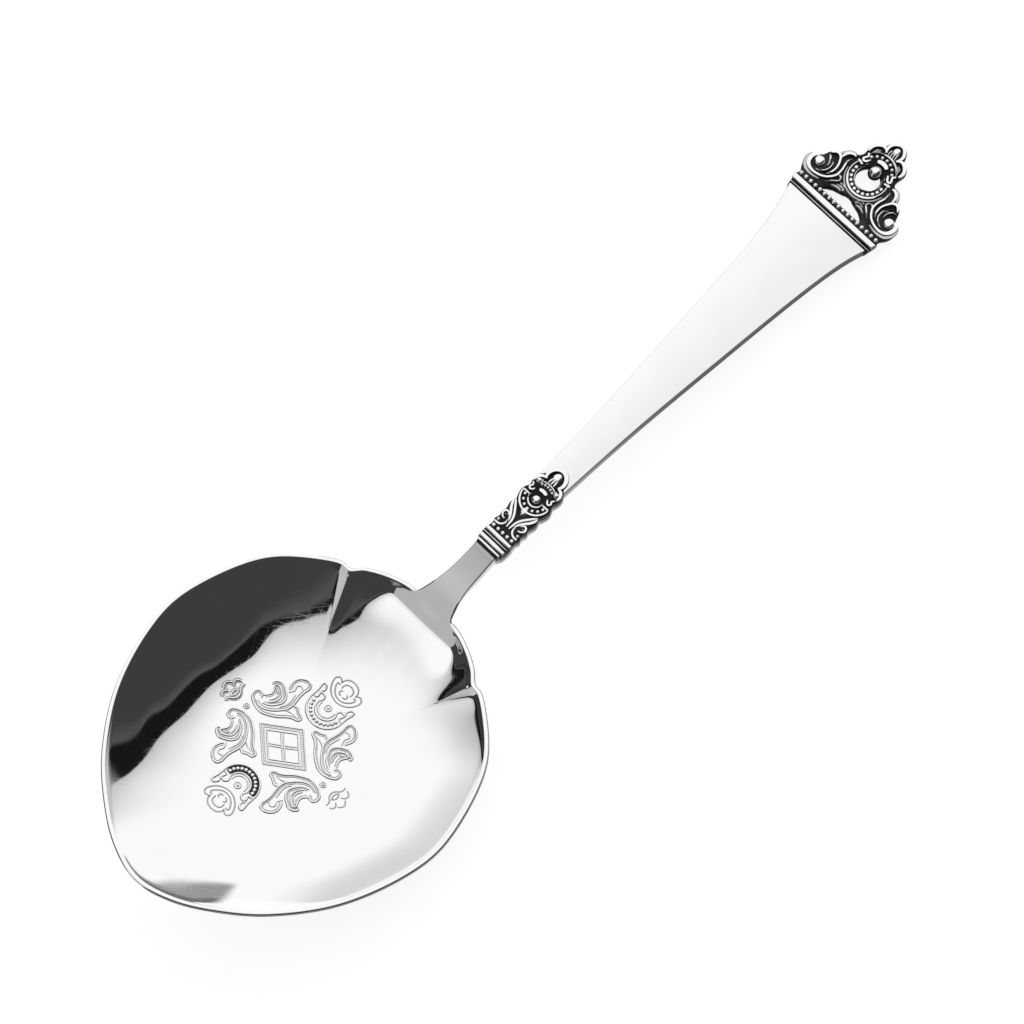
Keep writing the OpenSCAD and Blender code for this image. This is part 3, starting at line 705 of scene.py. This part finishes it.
# medallion struck in the dish
medal = {
    "mid": (-31.4, 1.3), "turn": -2, "line": 0.46, "height": 0.25, "footShadeShare": 0.55,
    # kinds of line: share of the width, share of the height, how thin at the ends
    "kinds": {"strong": (1, 1, 0.75), "faint": (0.8, 0.75, 0.7),
              "hair": (0.5, 0.45, 0.6), "pale": (0.7, 0.36, 0.5)},
    # kinds of bead: radius and height
    "beadKinds": {"beads": (0.37, 0.34), "eyes": (0.28, 0.28), "dots": (0.13, 0.12)},
    # one scroll, drawn from the middle toward the neck and to the left
    "scroll": [
        [(3.5, 9.5), (4.2, 9.8), (4.3, 10.6), (3.7, 11.1), (2.7, 11), (1.9, 10), (1.5, 8.6), (1.6, 7.3),
         (2.3, 6), (3.2, 4.8), (4.3, 3.8), (5, 2.9), (5.3, 2.1), (5.8, 1.7), (6.4, 1.9), (6.7, 2.8),
         (7.2, 3.7), (6.8, 4.5)],
        [(2.6, 9.9), (2.2, 8.8), (2.5, 7.5), (3.4, 6.3), (4.4, 5.5), (5.5, 4.8), (6.8, 4.6), (8, 4.8),
         (9.2, 5), (10.2, 5), (11.2, 4.9), (12, 5.3), (12.1, 6.1), (11.7, 6.9), (10.9, 7.6), (10, 7.8),
         (9.1, 7.6), (8.4, 7.2)],
        [(3, 8.7), (3.7, 7.4), (4.8, 6.6), (6, 6.2), (7.1, 6.7), (7.8, 7.6), (8.3, 8.7), (8, 9.7),
         (7.3, 10.2), (6.9, 9.8)],
        [(3.8, 8.1), (4.8, 7.4), (6.1, 7.2), (7, 7.9), (7.5, 8.8), (7.2, 9.5), (6.2, 9), (5.3, 8.9),
         (4.2, 9.6)],
    ],
    "ribs": [[(6.1, 8.1), (6.7, 8.5), (6.8, 9.1)], [(8, 7), (9, 6.5), (9.9, 6.8), (10.5, 6.3), (10.2, 5.6)],
             [(4.4, 8.2), (5.2, 7.8), (6, 7.8)], [(5.1, 4.9), (5.6, 3.9), (5.7, 2.6)],
             [(4.8, 6), (6.4, 5.4), (8.6, 5.8)]],
    # how far each struck scroll sits from the mirrored drawing: toward the neck, left
    "slip": {(1, 1): (0, 0), (-1, 1): (0.8, 0.4), (-1, -1): (0.9, -0.5), (1, -1): (0.2, 0.1)},
    "hairGap": 0.4,
    "window": [(5.05, 6.05, "strong"), (4.3, 5.15, "faint"), (3.65, 4.35, "strong")],
    "dots": (4.72, 5.65, 17), "barGap": 0.22,
    "bars": [[(-1.75, 2.1), (1.75, -2.1)], [(-1.75, -2.1), (1.75, 2.1)]],
    # crescents front and back: how far out, arcs (radius, half turn, steps, kind), beads and eye
    "crescent": 10.95,
    "arcs": [(3.8, 92, 28, "strong"), (2.15, 100, 24, "strong"), (1.6, 105, 20, "faint")],
    "crescentBeads": (2.97, 80, 11), "eyeOut": 0.35, "eyeRing": 0.6,
    # dark band: half turn, width, height
    "band": (88, 1.3, 0.04),
    "tufts": [
        [(11.1, 3.6), (11.4, 2.9), (12.3, 3.1), (12.6, 2.4), (12, 1.8), (11.1, 2.1)],
        [(11.1, 3.8), (12.4, 3.8), (13.9, 4), (14.1, 3.4), (13.3, 2.9), (12.5, 3.3)]],
    "palmette": [
        [(13.1, -0.1), (13.4, 1.2), (14.2, 2.4), (15.3, 3.1), (16.2, 3.3), (16.8, 2.9), (16.8, 2.3),
         (16.3, 1.7)],
        [(13.8, -0.1), (14, 0.9), (14.7, 1.8), (15.5, 2.3), (16, 2.2), (15.9, 1.7)],
        [(15.6, 1.1), (16.4, 1.1), (16.9, 0.7), (17.1, -0.1)],
        [(14.6, 0.2), (14.7, 0.7), (15.2, 0.9), (15.5, 0.5)]],
    "palmetteTop": [[(16.4, 1.8), (17.1, 1.7), (17.8, 1), (18, 0), (17.8, -1), (17.1, -1.7), (16.4, -1.8)]],
    "flower": [
        [(-2.4, 13), (-1.5, 12.9), (-0.8, 12.2), (0, 11.9), (0.8, 12.2), (1.6, 12.9), (2.6, 12.9)],
        [(-2.3, 13.7), (-1.8, 14.3), (-1.1, 14.2), (-0.7, 13.7)],
        [(-1.1, 14.6), (-0.5, 15.2), (0.2, 15.2), (0.9, 14.6)],
        [(0.6, 13.7), (1.2, 14.4), (2, 14.3), (2.4, 13.5)],
        [(-0.9, 12.9), (0, 13.3), (0.9, 12.9), (0, 12.5), (-0.9, 12.9)]],
    "flowerSlip": 0.4, "flowerGap": 0.35, "spot": (0.4, 10.1), "spotRing": 0.5,
}


def onDish(p, front=1, side=1, slip=(0, 0)):
    t = radians(medal["turn"])
    a, b = front * p[0] + slip[0], side * p[1] + slip[1]
    return (medal["mid"][0] + a * cos(t) - b * sin(t), medal["mid"][1] + a * sin(t) + b * cos(t))


def placedLines(lines, front=1, side=1, slip=(0, 0)):
    return [[onDish(p, front, side, slip) for p in softLine(line)] for line in lines]


def beside(line, gap):
    # the same line a little to its left
    moved = []
    for k in range(1, len(line) - 1):
        dx, dy = line[k + 1][0] - line[k - 1][0], line[k + 1][1] - line[k - 1][1]
        run = hypot(dx, dy) or 1
        moved.append((line[k][0] - dy / run * gap, line[k][1] + dx / run * gap))
    return moved


def sidesOf(wide, long):
    # the four sides of a diamond
    corners = [(wide, 0), (0, long), (-wide, 0), (0, -long)]
    return list(zip(corners, corners[1:] + corners[:1]))


def makeMedallion(ground):
    c = medal
    lines = {kind: [] for kind in c["kinds"]}
    spots = {kind: [] for kind in c["beadKinds"]}
    for (front, side), slip in c["slip"].items():
        scrolls = placedLines(c["scroll"], front, side, slip)
        lines["strong"] += scrolls
        lines["hair"] += [beside(line, c["hairGap"] * front * side) for line in scrolls]
        lines["faint"] += placedLines(c["ribs"], front, side, slip)
    for wide, long, kind in c["window"]:
        lines[kind] += [[onDish(a), onDish(b)] for a, b in sidesOf(wide, long)]
    wide, long, count = c["dots"]
    for a, b in sidesOf(wide, long):
        spots["dots"] += [onDish([p + (q - p) * f / count for p, q in zip(a, b)]) for f in range(count)]
    for bar in c["bars"]:
        line = [onDish([p + (q - p) * f / 6 for p, q in zip(*bar)]) for f in range(-1, 8)]
        lines["faint"] += [beside(line, c["barGap"]), beside(line, -c["barGap"])]
    for front in (1, -1):
        mid, face = onDish((c["crescent"], 0), front), 90 + 90 * front + c["turn"]
        for radius, half, count, kind in c["arcs"]:
            lines[kind].append(arcLine(mid, radius, face - half, face + half, count))
        eye = onDish((c["crescent"] + c["eyeOut"], 0), front)
        lines["faint"].append(arcLine(eye, c["eyeRing"], 0, 360, 14))
        spots["eyes"].append(eye)
        radius, half, count = c["crescentBeads"]
        spots["beads"] += arcLine(mid, radius, face - half, face + half, count)
        for side in (1, -1):
            lines["strong"] += placedLines(c["tufts"], front, side)
            lines["pale"] += placedLines(c["palmette"], front, side)
        lines["pale"] += placedLines(c["palmetteTop"], front)
    # the flower is struck deep on the left and faint on the right
    for side, kind in ((1, "strong"), (-1, "pale")):
        flower = placedLines(c["flower"], 1, side, (c["flowerSlip"], c["flowerSlip"] * side))
        lines[kind] += flower
        if side == 1:
            gaps = (c["flowerGap"], -c["flowerGap"])
            lines["hair"] += [beside(line, gap) for line in flower for gap in gaps]
        spot = onDish(c["spot"], 1, side)
        lines["faint"].append(arcLine(spot, c["spotRing"], 0, 360, 12))
        spots["eyes"].append(spot)
    parts = []
    for kind, (width, height, taper) in c["kinds"].items():
        parts.append(drawLines(kind, lines[kind], c["line"] * width, c["height"] * height, taper))
    for kind, (radius, height) in c["beadKinds"].items():
        parts.append(beadsAt(kind, spots[kind], radius, height))
    piece = joined("medallion", parts)
    # painted shade darkens the foot of every raised line and bead of the medallion
    noteOxideAndShade(piece, 0, c["height"] * c["footShadeShare"])
    # a dark band lies in the ground of the front crescent
    half, width, height = c["band"]
    mid = onDish((c["crescent"], 0), -1)
    around = ringLine(mid, c["crescentBeads"][0], c["turn"] - half, c["turn"] + half, width)
    band = strokes("band", [around], height)
    noteOxideAndShade(band, 1, 0.1)  # all of it lies below 1, so all of it is dark
    piece = joined("medallion", [piece, band])
    dropOn(piece, ground)
    return finished(piece)


# crest: pierced plate, bars, beads, scrolled leaves, ring with its ball, palmette
crest = {
    "place": (106.95, 0, 30.14), "pitch": -3, "size": (1.107, 1.027, 1),
    "foot": 0, "ground": 1.2, "edge": 0.12, "rise": 0.62, "oxideAndShade": (0.06, 0.2, 0.1), "start": [(0.1, 9.6)],
    "outline": [
        (2.1, 9.95), (2.9, 9.7), (3.45, 9.94), (4.1, 10.42), (4.8, 10.7), (5.75, 10.82), (6.6, 10.6),
        (7.2, 10.1), (7.7, 9.45), (8, 9), (8.8, 8.72), (9.5, 8.38), (10.15, 7.74), (10.45, 7.15),
        (10.45, 6.8), (11.2, 6.4), (11.95, 5.65), (12.2, 4.9), (12.4, 4.4), (13.05, 4.02), (13.7, 3.98),
        (14.4, 4.1), (15.1, 4.2), (15.8, 4), (16.4, 3.45), (16.75, 2.8), (16.85, 2.3), (17.6, 2),
        (18.45, 1.5), (19, 0.75), (19.15, 0)],
    "lens": [(3.1, 4.75), (3.55, 4.6), (4.12, 3.92), (4.6, 3.06), (4.88, 2), (5.08, 1.25), (5.36, 0.58),
             (5.42, 0)],
    # bars across: start, end, half width at both, bottom over the foot, top over the ground, edge
    "bars": [(0.26, 0.42, 9.6, 9.65, 0.2, 0.3, 0.07), (0.8, 1.85, 9.75, 10, 0.2, 0.75, 0.16),
             (-0.35, 2.3, 9.5, 9.95, -0.3, 0, 0.12)],
    "beadRow": (2.68, 9.2, 17), "rowBead": (0.43, 0.55),
    "leaves": [
        [(7.4, 9.3, 0.62), (7, 9.94, 0.75), (6.13, 10.18, 0.82), (5.17, 9.94, 0.75), (4.55, 9.32, 0.6),
         (4.29, 8.41, 0.42), (4.36, 7.36, 0.36), (4.65, 6.41, 0.34), (5.17, 5.55, 0.34), (5.94, 4.88, 0.36),
         (6.7, 4.48, 0.38), (7.47, 4.45, 0.36), (8.23, 4.54, 0.34), (9.09, 4.78, 0.32), (9.85, 4.88, 0.3),
         (10.8, 4.73, 0.2)],
        [(6.7, 4.48, 0.3), (6.94, 4.02, 0.26), (6.8, 3.59, 0.26), (6.32, 3.33, 0.26), (5.84, 3.64, 0.28),
         (5.27, 4.3, 0.26), (4.79, 4.78, 0.22), (4.41, 5.21, 0.14)],
        [(5.7, 6.02, 0.14), (6.32, 5.59, 0.3), (7.37, 5.43, 0.34), (8.33, 5.64, 0.36), (9.09, 6.02, 0.36),
         (9.66, 6.41, 0.42), (9.97, 7.08, 0.5), (9.81, 7.65, 0.5), (9.38, 8.08, 0.4), (8.95, 8.3, 0.22)],
        [(5.03, 8.03, 0.12), (5.32, 7.17, 0.24), (5.84, 6.6, 0.28), (6.6, 6.31, 0.28), (7.37, 6.33, 0.26),
         (7.99, 6.6, 0.2), (8.18, 6.98, 0.12)],
        [(6.7, 6.96, 0.12), (7.47, 7.08, 0.24), (8.13, 7.46, 0.28), (8.56, 7.94, 0.26), (8.71, 8.37, 0.15)],
        [(9.57, 6.17, 0.2), (10.14, 6.22, 0.4), (10.9, 6.02, 0.5), (11.43, 5.55, 0.5), (11.67, 4.88, 0.4),
         (11.57, 4.49, 0.25)],
        [(5.5, 3.15, 0.12), (5.65, 2.6, 0.24), (5.5, 2.05, 0.26), (5.15, 1.6, 0.14)],
        [(6.1, 3, 0.12), (6.15, 2.45, 0.24), (5.95, 1.9, 0.26), (5.3, 1.45, 0.14)],
    ],
    # lower shoulders outside the leaves and round the ring
    "shoulders": [
        [(6.9, 10.5, 0.3), (5.9, 10.72, 0.5), (4.85, 10.45, 0.56), (4.05, 9.7, 0.56), (3.75, 8.6, 0.46),
         (3.78, 7.4, 0.36), (4.05, 6.35, 0.26)],
        [(4.75, 3.95, 0.2), (5.05, 3.3, 0.36), (5.2, 2.6, 0.4), (5.05, 1.9, 0.3)],
        [(10.1, 6.95, 0.3), (11, 6.45, 0.46), (11.85, 5.7, 0.46), (12.1, 4.9, 0.3)]],
    "shoulderArc": (4.25, 100, 260, 0.34, 40), "shoulderRise": 0.22,
    "ties": [[(11.56, 3.85, 0.34), (11.45, 3.3, 0.34), (11.33, 2.7, 0.3)],
             [(13.62, 3.4, 0.3), (13.2, 2.98, 0.36), (12.69, 3.2, 0.36), (12.26, 3.37, 0.38),
              (12, 3.03, 0.36), (12.15, 2.65, 0.36), (12.5, 2.4, 0.34), (12.92, 2.12, 0.26)],
             [(11.58, 2.35, 0.16), (12.18, 2, 0.22)]],
    # arcs: x of the middle, radius, from and to in degrees, width, steps
    "arcs": [(10.1, 3.75, 62, 298, 0.34, 40), (10.1, 2.45, 58, 302, 0.26, 32),
             (11.9, 3.68, -66, 66, 0.28, 24), (11.9, 1.98, -34, 34, 0.85, 8)],
    # radius, from and to in degrees, how many; then the size of one
    "ringX": 10.1, "opening": 2.3, "ringBlocks": (3.08, 88, 272, 12), "ringBlock": ((0.56, 0.62), 0.42),
    "crownX": 11.9, "crownBeads": (2.95, -58, 58, 7), "crownBead": (0.36, 0.5), "ball": (11.9, 0, 0.95, 1.32),
    "sideLobe": [[(13.95, 3.62, 0.25), (14.6, 3.8, 0.5), (15.35, 3.68, 0.66), (15.98, 3.2, 0.7),
                  (16.35, 2.6, 0.66), (16.42, 2, 0.5), (16.15, 1.5, 0.3)],
                 [(14.3, 3.1, 0.12), (14.6, 2.72, 0.2), (14.85, 2.3, 0.14)],
                 [(14.7, 3.1, 0.12), (15, 2.6, 0.22), (15.3, 2.1, 0.14)],
                 [(15.15, 3, 0.12), (15.4, 2.55, 0.22), (15.6, 2.15, 0.14)]],
    "topLobe": [(15.85, 1.2, 0.3), (16.5, 1.55, 0.48), (17.3, 1.56, 0.56), (18.05, 1.18, 0.62),
                (18.55, 0.6, 0.64), (18.72, 0, 0.64)],
    "tongueRibs": [[(15.75, 0.75, 0.2), (16.5, 0.72, 0.28), (17.3, 0.5, 0.2)],
                   [(15.75, 0.25, 0.2), (16.5, 0.25, 0.28), (17.3, 0.2, 0.2)]], "middleRibs": [],
    # bosses: x, y, height of the middle over the ground, radius, stretch
    "bosses": [(6.62, 8.62, 0.15, 1, (1, 1, 0.5)), (17.3, 0, 0, 0.8, (1.15, 1, 0.6))],
}


def makeStruck(name, c, openings, extras):
    # a plate with its raised lines, beads, blocks, bosses and bars
    z = c["ground"]
    outline = acrossMiddle(c["start"] + softLine(c["outline"], 3))
    parts = [cutPlate(name, [outline, *openings], c["foot"], z, c["edge"])]
    lines = bothSides(c["leaves"] + c["ties"] + c["sideLobe"] + c["tongueRibs"]) + c["middleRibs"]
    lines.append(acrossMiddle(c["topLobe"]))
    for x, *arc in c["arcs"]:
        lines.append(ringLine((x, 0), *arc))
    parts.append(raised(strokes("lines", lines, c["rise"]), z - sunk))
    parts += extras
    crown = [(x, y) for x, y, _ in arcPlaces((c["crownX"], 0), *c["crownBeads"])]
    parts.append(raised(beadsAt("crown", crown, *c["crownBead"]), z))
    around = arcPlaces((c["ringX"], 0), *c["ringBlocks"])
    parts.append(raised(blocksAt("ringBlocks", around, *c["ringBlock"]), z - sunk))
    for x, y, up, radius, stretch in c["bosses"]:
        for side in (1, -1) if y else (1,):
            parts.append(ballAt("boss", (x, y * side, z + up), radius, stretch))
    for low, high, w0, w1, bottom, top, edge in c["bars"]:
        corners = [(low, w0), (high, w1), (high, -w1), (low, -w0)]
        parts.append(cutPlate("bar", [corners], c["foot"] + bottom, z + top, edge))
    piece = joined(name, parts)
    # oxide blackens the plate's ground, and painted shade darkens the foot of the raised work, less on the
    # plate's sides
    shift, reach, side = c["oxideAndShade"]
    noteOxideAndShade(piece, z + shift, reach, z - side)
    return piece


def placed(piece, c):
    turned = Matrix.Translation(c["place"]) @ Matrix.Rotation(radians(c["pitch"]), 4, "Y")
    return finished(piece, turned @ Matrix.Diagonal((*c["size"], 1)))


def makeCrest():
    c, z = crest, crest["ground"]
    hole = arcLine((c["ringX"], 0), c["opening"], 0, 354, 59)
    shoulders = bothSides(c["shoulders"]) + [ringLine((c["ringX"], 0), *c["shoulderArc"])]
    extras = [raised(strokes("shoulders", shoulders, c["shoulderRise"]), z - sunk),
              raised(beadsAt("row", rowAcross(*c["beadRow"]), *c["rowBead"]), z)]
    piece = makeStruck("crest", c, [acrossMiddle(c["lens"]), hole], extras)
    x, y, ballZ, r = c["ball"]
    ball = ballAt("ball", (x, y, ballZ), r)
    # painted shade: the ball's lower half turns dark and its top stays bright
    noteOxideAndShade(ball, ballZ, r * 0.95)
    return placed(joined("crest", [piece, ball]), c)


# knot: collar mouldings, beads, two pairs of leaves, beaded ring, small palmette
knot = {
    "place": (17, -0.4, 17.97), "pitch": -12.9236, "size": (1, 1, 1),
    "foot": -4.3, "ground": 0.35, "edge": 0.15, "rise": 0.5, "oxideAndShade": (0.05, 0.18, 0.1), "start": [],
    "outline": [
        (-0.15, 2.4), (0.3, 2.6), (1.2, 3), (2.9, 3.05), (4, 2.85), (4.7, 2.85), (5.4, 3.08), (6.2, 2.8),
        (7.2, 3.08), (8.05, 2.85), (9.2, 3.15), (10.1, 3.1), (10.7, 2.85), (11.4, 3.15), (12.5, 3.42),
        (13.4, 3.3), (14.2, 2.9), (15.1, 3.1), (16, 3.22), (16.9, 3), (17.7, 2.35), (18.6, 2.28),
        (19.4, 1.85), (20.2, 1.1), (20.5, 0)],
    # mouldings across the collar, as the crest's bars
    "bars": [(0.3, 0.75, 2.65, 2.65, 0, 0.3, 0.1), (1.05, 1.85, 2.98, 2.98, 0, 0.45, 0.2),
             (2.2, 2.42, 2.95, 2.95, 0, 0.3, 0.1), (2.75, 3.55, 3.02, 3.02, 0, 0.45, 0.2)],
    "blockRow": (4.2, 2.25, 5), "rowBlock": ((0.66, 0.72), 0.4, 0.2),
    "leaves": [
        [(5.5, 0.3, 0.24), (6.3, 0.38, 0.34), (7.2, 0.5, 0.4), (8.2, 0.95, 0.42), (9.1, 1.62, 0.42),
         (9.9, 2.25, 0.36), (10.5, 2.75, 0.2)],
        [(6.3, 0.8, 0.2), (7.2, 1.12, 0.4), (8, 1.65, 0.46), (8.8, 2.3, 0.5), (9.6, 2.72, 0.46),
         (10.4, 2.92, 0.2)],
        [(4.95, 2.75, 0.3), (4.9, 2.1, 0.36), (5.2, 1.4, 0.36), (5.9, 0.98, 0.3), (6.6, 1.1, 0.2)],
        [(6.35, 1.7, 0.2), (6.5, 2.3, 0.32), (7.1, 2.72, 0.38), (7.75, 2.45, 0.36), (7.7, 1.85, 0.32),
         (7.2, 1.6, 0.2)],
    ],
    "arcs": [(12.9, 3.05, 88, 272, 0.36, 36), (12.9, 1.52, 80, 280, 0.28, 28),
             (12.9, 3.6, -32, 32, 0.22, 12), (12.9, 1.95, -26, 26, 0.7, 8)],
    "ringX": 12.9, "ringBlocks": (2.32, 104, 256, 7), "ringBlock": ((0.52, 0.58), 0.36),
    "crownX": 12.9, "crownBeads": (3.08, -24, 24, 5), "crownBead": (0.3, 0.4),
    "ties": [[(12.85, 2.95, 0.3), (12.85, 2.3, 0.3), (12.85, 1.7, 0.26)],
             [(15, 2.75, 0.24), (14.5, 2.35, 0.32), (14, 2.6, 0.34), (13.6, 2.3, 0.34), (13.8, 1.85, 0.32),
              (14.3, 1.6, 0.22)]],
    "sideLobe": [[(15.2, 2.85, 0.25), (15.9, 2.9, 0.5), (16.6, 2.62, 0.6), (17, 2.1, 0.5), (17, 1.6, 0.3)],
                 [(16.5, 1.75, 0.14), (16.15, 1.5, 0.2), (15.8, 1.8, 0.22), (15.95, 2.25, 0.2),
                  (16.3, 2.15, 0.12)]],
    "topLobe": [(17, 1.5, 0.4), (17.8, 1.85, 0.62), (18.7, 1.75, 0.74), (19.5, 1.25, 0.78),
                (19.95, 0.6, 0.8), (20.05, 0, 0.8)],
    "tongueRibs": [[(16.7, 0.6, 0.22), (17.4, 0.55, 0.3), (18.2, 0.4, 0.2)]],
    "middleRibs": [[(16.7, 0, 0.22), (17.4, 0, 0.3), (18.2, 0, 0.2)]],
    "bosses": [(5.6, 2.4, 0, 0.36, (1, 1, 0.9)), (7.15, 2.15, 0, 0.2, (1, 1, 0.9)),
               (15.9, 2.15, 0, 0.62, (1, 1, 0.9)), (12.9, 0, 0.1, 0.82, (1, 1, 0.5)),
               (18.4, 0, 0, 0.82, (1.35, 1.1, 0.5)), (9.75, 0, 0, 0.8, (1.2, 0.85, 0.42))],
}


def makeKnot():
    c, z = knot, knot["ground"]
    row = [(x, y, 0) for x, y in rowAcross(*c["blockRow"])]
    blocks = raised(blocksAt("row", row, *c["rowBlock"]), z - sunk)
    return placed(makeStruck("knot", c, [], [blocks]), c)


medallion = makeMedallion(serverBody)
print("medallion made", len(medallion.data.polygons))
lay(serverBody)
crestPiece = makeCrest()
print("crest made", len(crestPiece.data.polygons))
knotPiece = makeKnot()
print("knot made", len(knotPiece.data.polygons))


# polished silver, worn, and blackened by oxide and by painted shade
finish = {
    # the near-black second colour is that of real oxide and of painted shade
    "silver": (0.965, 0.96, 0.95, 1), "blackOxideAndShade": (0.012, 0.0105, 0.01, 1), "smooth": 0.03, "dull": 0.42,
    # soft patches and clouds: how many to a metre
    "patches": 38, "clouds": 150,
    # hair scratches: turn in degrees, stretch along and across, how rare
    "scratches": [(38, 90, 5200, 0.715), (-24, 110, 6400, 0.73), (62, 130, 7400, 0.73)],
    "scratchEdge": 0.03, "scratchDull": 0.07, "scratchDepth": 0.05,
    # pinhead specks of tarnish: how many to a metre, how rare, how big, how dark
    "specks": 95, "speckRare": (0.955, 0.96), "speckSize": (0.03, 0.06), "speckDark": 0.6,
    # from and to in a patch or cloud, and what it makes of scratches, oxide with painted shade, tone and
    # roughness
    "scratchShare": (0.35, 0.65, 0.25, 1), "oxideAndShadeShare": (0.3, 0.7, 1, 0.96),
    "veil": (0.35, 0.65, 0.985, 1), "patchDull": (0.4, 0.7, 0, 0.02),
}


def wearAndShadeGroup():
    c = finish
    tree = bpy.data.node_groups.new("silverWearAndShade", "ShaderNodeTree")
    face = tree.interface
    face.new_socket("Position", in_out="INPUT", socket_type="NodeSocketVector")
    # the second input marks oxide and painted shade
    face.new_socket("OxideAndShade", in_out="INPUT", socket_type="NodeSocketFloat")
    outputs = {"Color": "NodeSocketColor", "Roughness": "NodeSocketFloat", "Normal": "NodeSocketVector"}
    for name, kind in outputs.items():
        face.new_socket(name, in_out="OUTPUT", socket_type=kind)
    start, end = tree.nodes.new("NodeGroupInput"), tree.nodes.new("NodeGroupOutput")
    place, oxideAndShade = start.outputs["Position"], start.outputs["OxideAndShade"]
    patches = node(tree, "TexNoise", {"Vector": place, "Scale": c["patches"], "Detail": 2}).outputs[0]
    inputs = {"Vector": place, "Scale": c["clouds"], "Detail": 4, "Roughness": 0.6}
    clouds = node(tree, "TexNoise", inputs).outputs[0]
    hairs = 0
    for turn, along, across, rare in c["scratches"]:
        inputs = {"Vector": place, "Angle": radians(turn)}
        turned = node(tree, "VectorRotate", inputs, rotation_type="Z_AXIS").outputs[0]
        drawn = node(tree, "Mapping", {"Vector": turned, "Scale": (along, across, along)}).outputs[0]
        streak = node(tree, "TexNoise", {"Vector": drawn, "Scale": 1, "Detail": 0}).outputs[0]
        hairs = calc(tree, "MAXIMUM", hairs, step(tree, streak, rare, rare + c["scratchEdge"]))
    hairs = product(tree, hairs, step(tree, patches, *c["scratchShare"]))
    # a few pinhead specks of tarnish
    cells = node(tree, "TexVoronoi", {"Vector": place, "Scale": c["specks"], "Randomness": 1})
    chance = node(tree, "SeparateColor", {0: cells.outputs["Color"]}).outputs[0]
    rare = step(tree, chance, *c["speckRare"])
    specks = step(tree, cells.outputs["Distance"], *c["speckSize"], 1, 0)
    # oxide in the struck ground, painted shade at the foot of raised parts, on the ball's lower half and on
    # the strap's right side, all thinning out in soft clouds
    blackOxideAndShade = product(tree, oxideAndShade, step(tree, clouds, *c["oxideAndShadeShare"]))
    blackOxideAndShade = calc(tree, "MAXIMUM", blackOxideAndShade, product(tree, specks, rare, c["speckDark"]))
    inputs = {0: blackOxideAndShade, 6: c["silver"], 7: c["blackOxideAndShade"]}
    tone = node(tree, "Mix", inputs, data_type="RGBA").outputs[2]
    inputs = {0: 1, 6: tone, 7: step(tree, clouds, *c["veil"])}
    tone = node(tree, "Mix", inputs, data_type="RGBA", blend_type="MULTIPLY").outputs[2]
    tree.links.new(tone, end.inputs["Color"])
    rough = calc(tree, "MULTIPLY_ADD", blackOxideAndShade, c["dull"], c["smooth"])
    rough = calc(tree, "ADD", rough, product(tree, hairs, c["scratchDull"]))
    rough = calc(tree, "ADD", rough, step(tree, patches, *c["patchDull"]))
    tree.links.new(rough, end.inputs["Roughness"])
    inputs = {"Strength": c["scratchDepth"], "Distance": 0.00001, "Height": hairs}
    tree.links.new(node(tree, "Bump", inputs).outputs[0], end.inputs["Normal"])
    return tree


def makeSilver():
    silver = bpy.data.materials.new("polishedSilver")
    silver.use_nodes = True
    tree = silver.node_tree
    surface = tree.nodes["Principled BSDF"]
    surface.inputs["Metallic"].default_value = 1
    # this attribute marks oxide and painted shade
    oxideAndShade = node(tree, "Attribute", attribute_name="oxideAndShade").outputs["Fac"]
    wearAndShade = tree.nodes.new("ShaderNodeGroup")
    wearAndShade.node_tree = wearAndShadeGroup()
    tree.links.new(node(tree, "TexCoord").outputs["Object"], wearAndShade.inputs["Position"])
    tree.links.new(oxideAndShade, wearAndShade.inputs["OxideAndShade"])
    for made, socket in (("Color", "Base Color"), ("Roughness", "Roughness"), ("Normal", "Normal")):
        tree.links.new(wearAndShade.outputs[made], surface.inputs[socket])
    return silver


silver = makeSilver()
for piece in (serverBody, medallion, crestPiece, knotPiece):
    piece.data.materials.clear()
    piece.data.materials.append(silver)
    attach(piece, "root")
    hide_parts("tomato_server")
print("silver laid on")
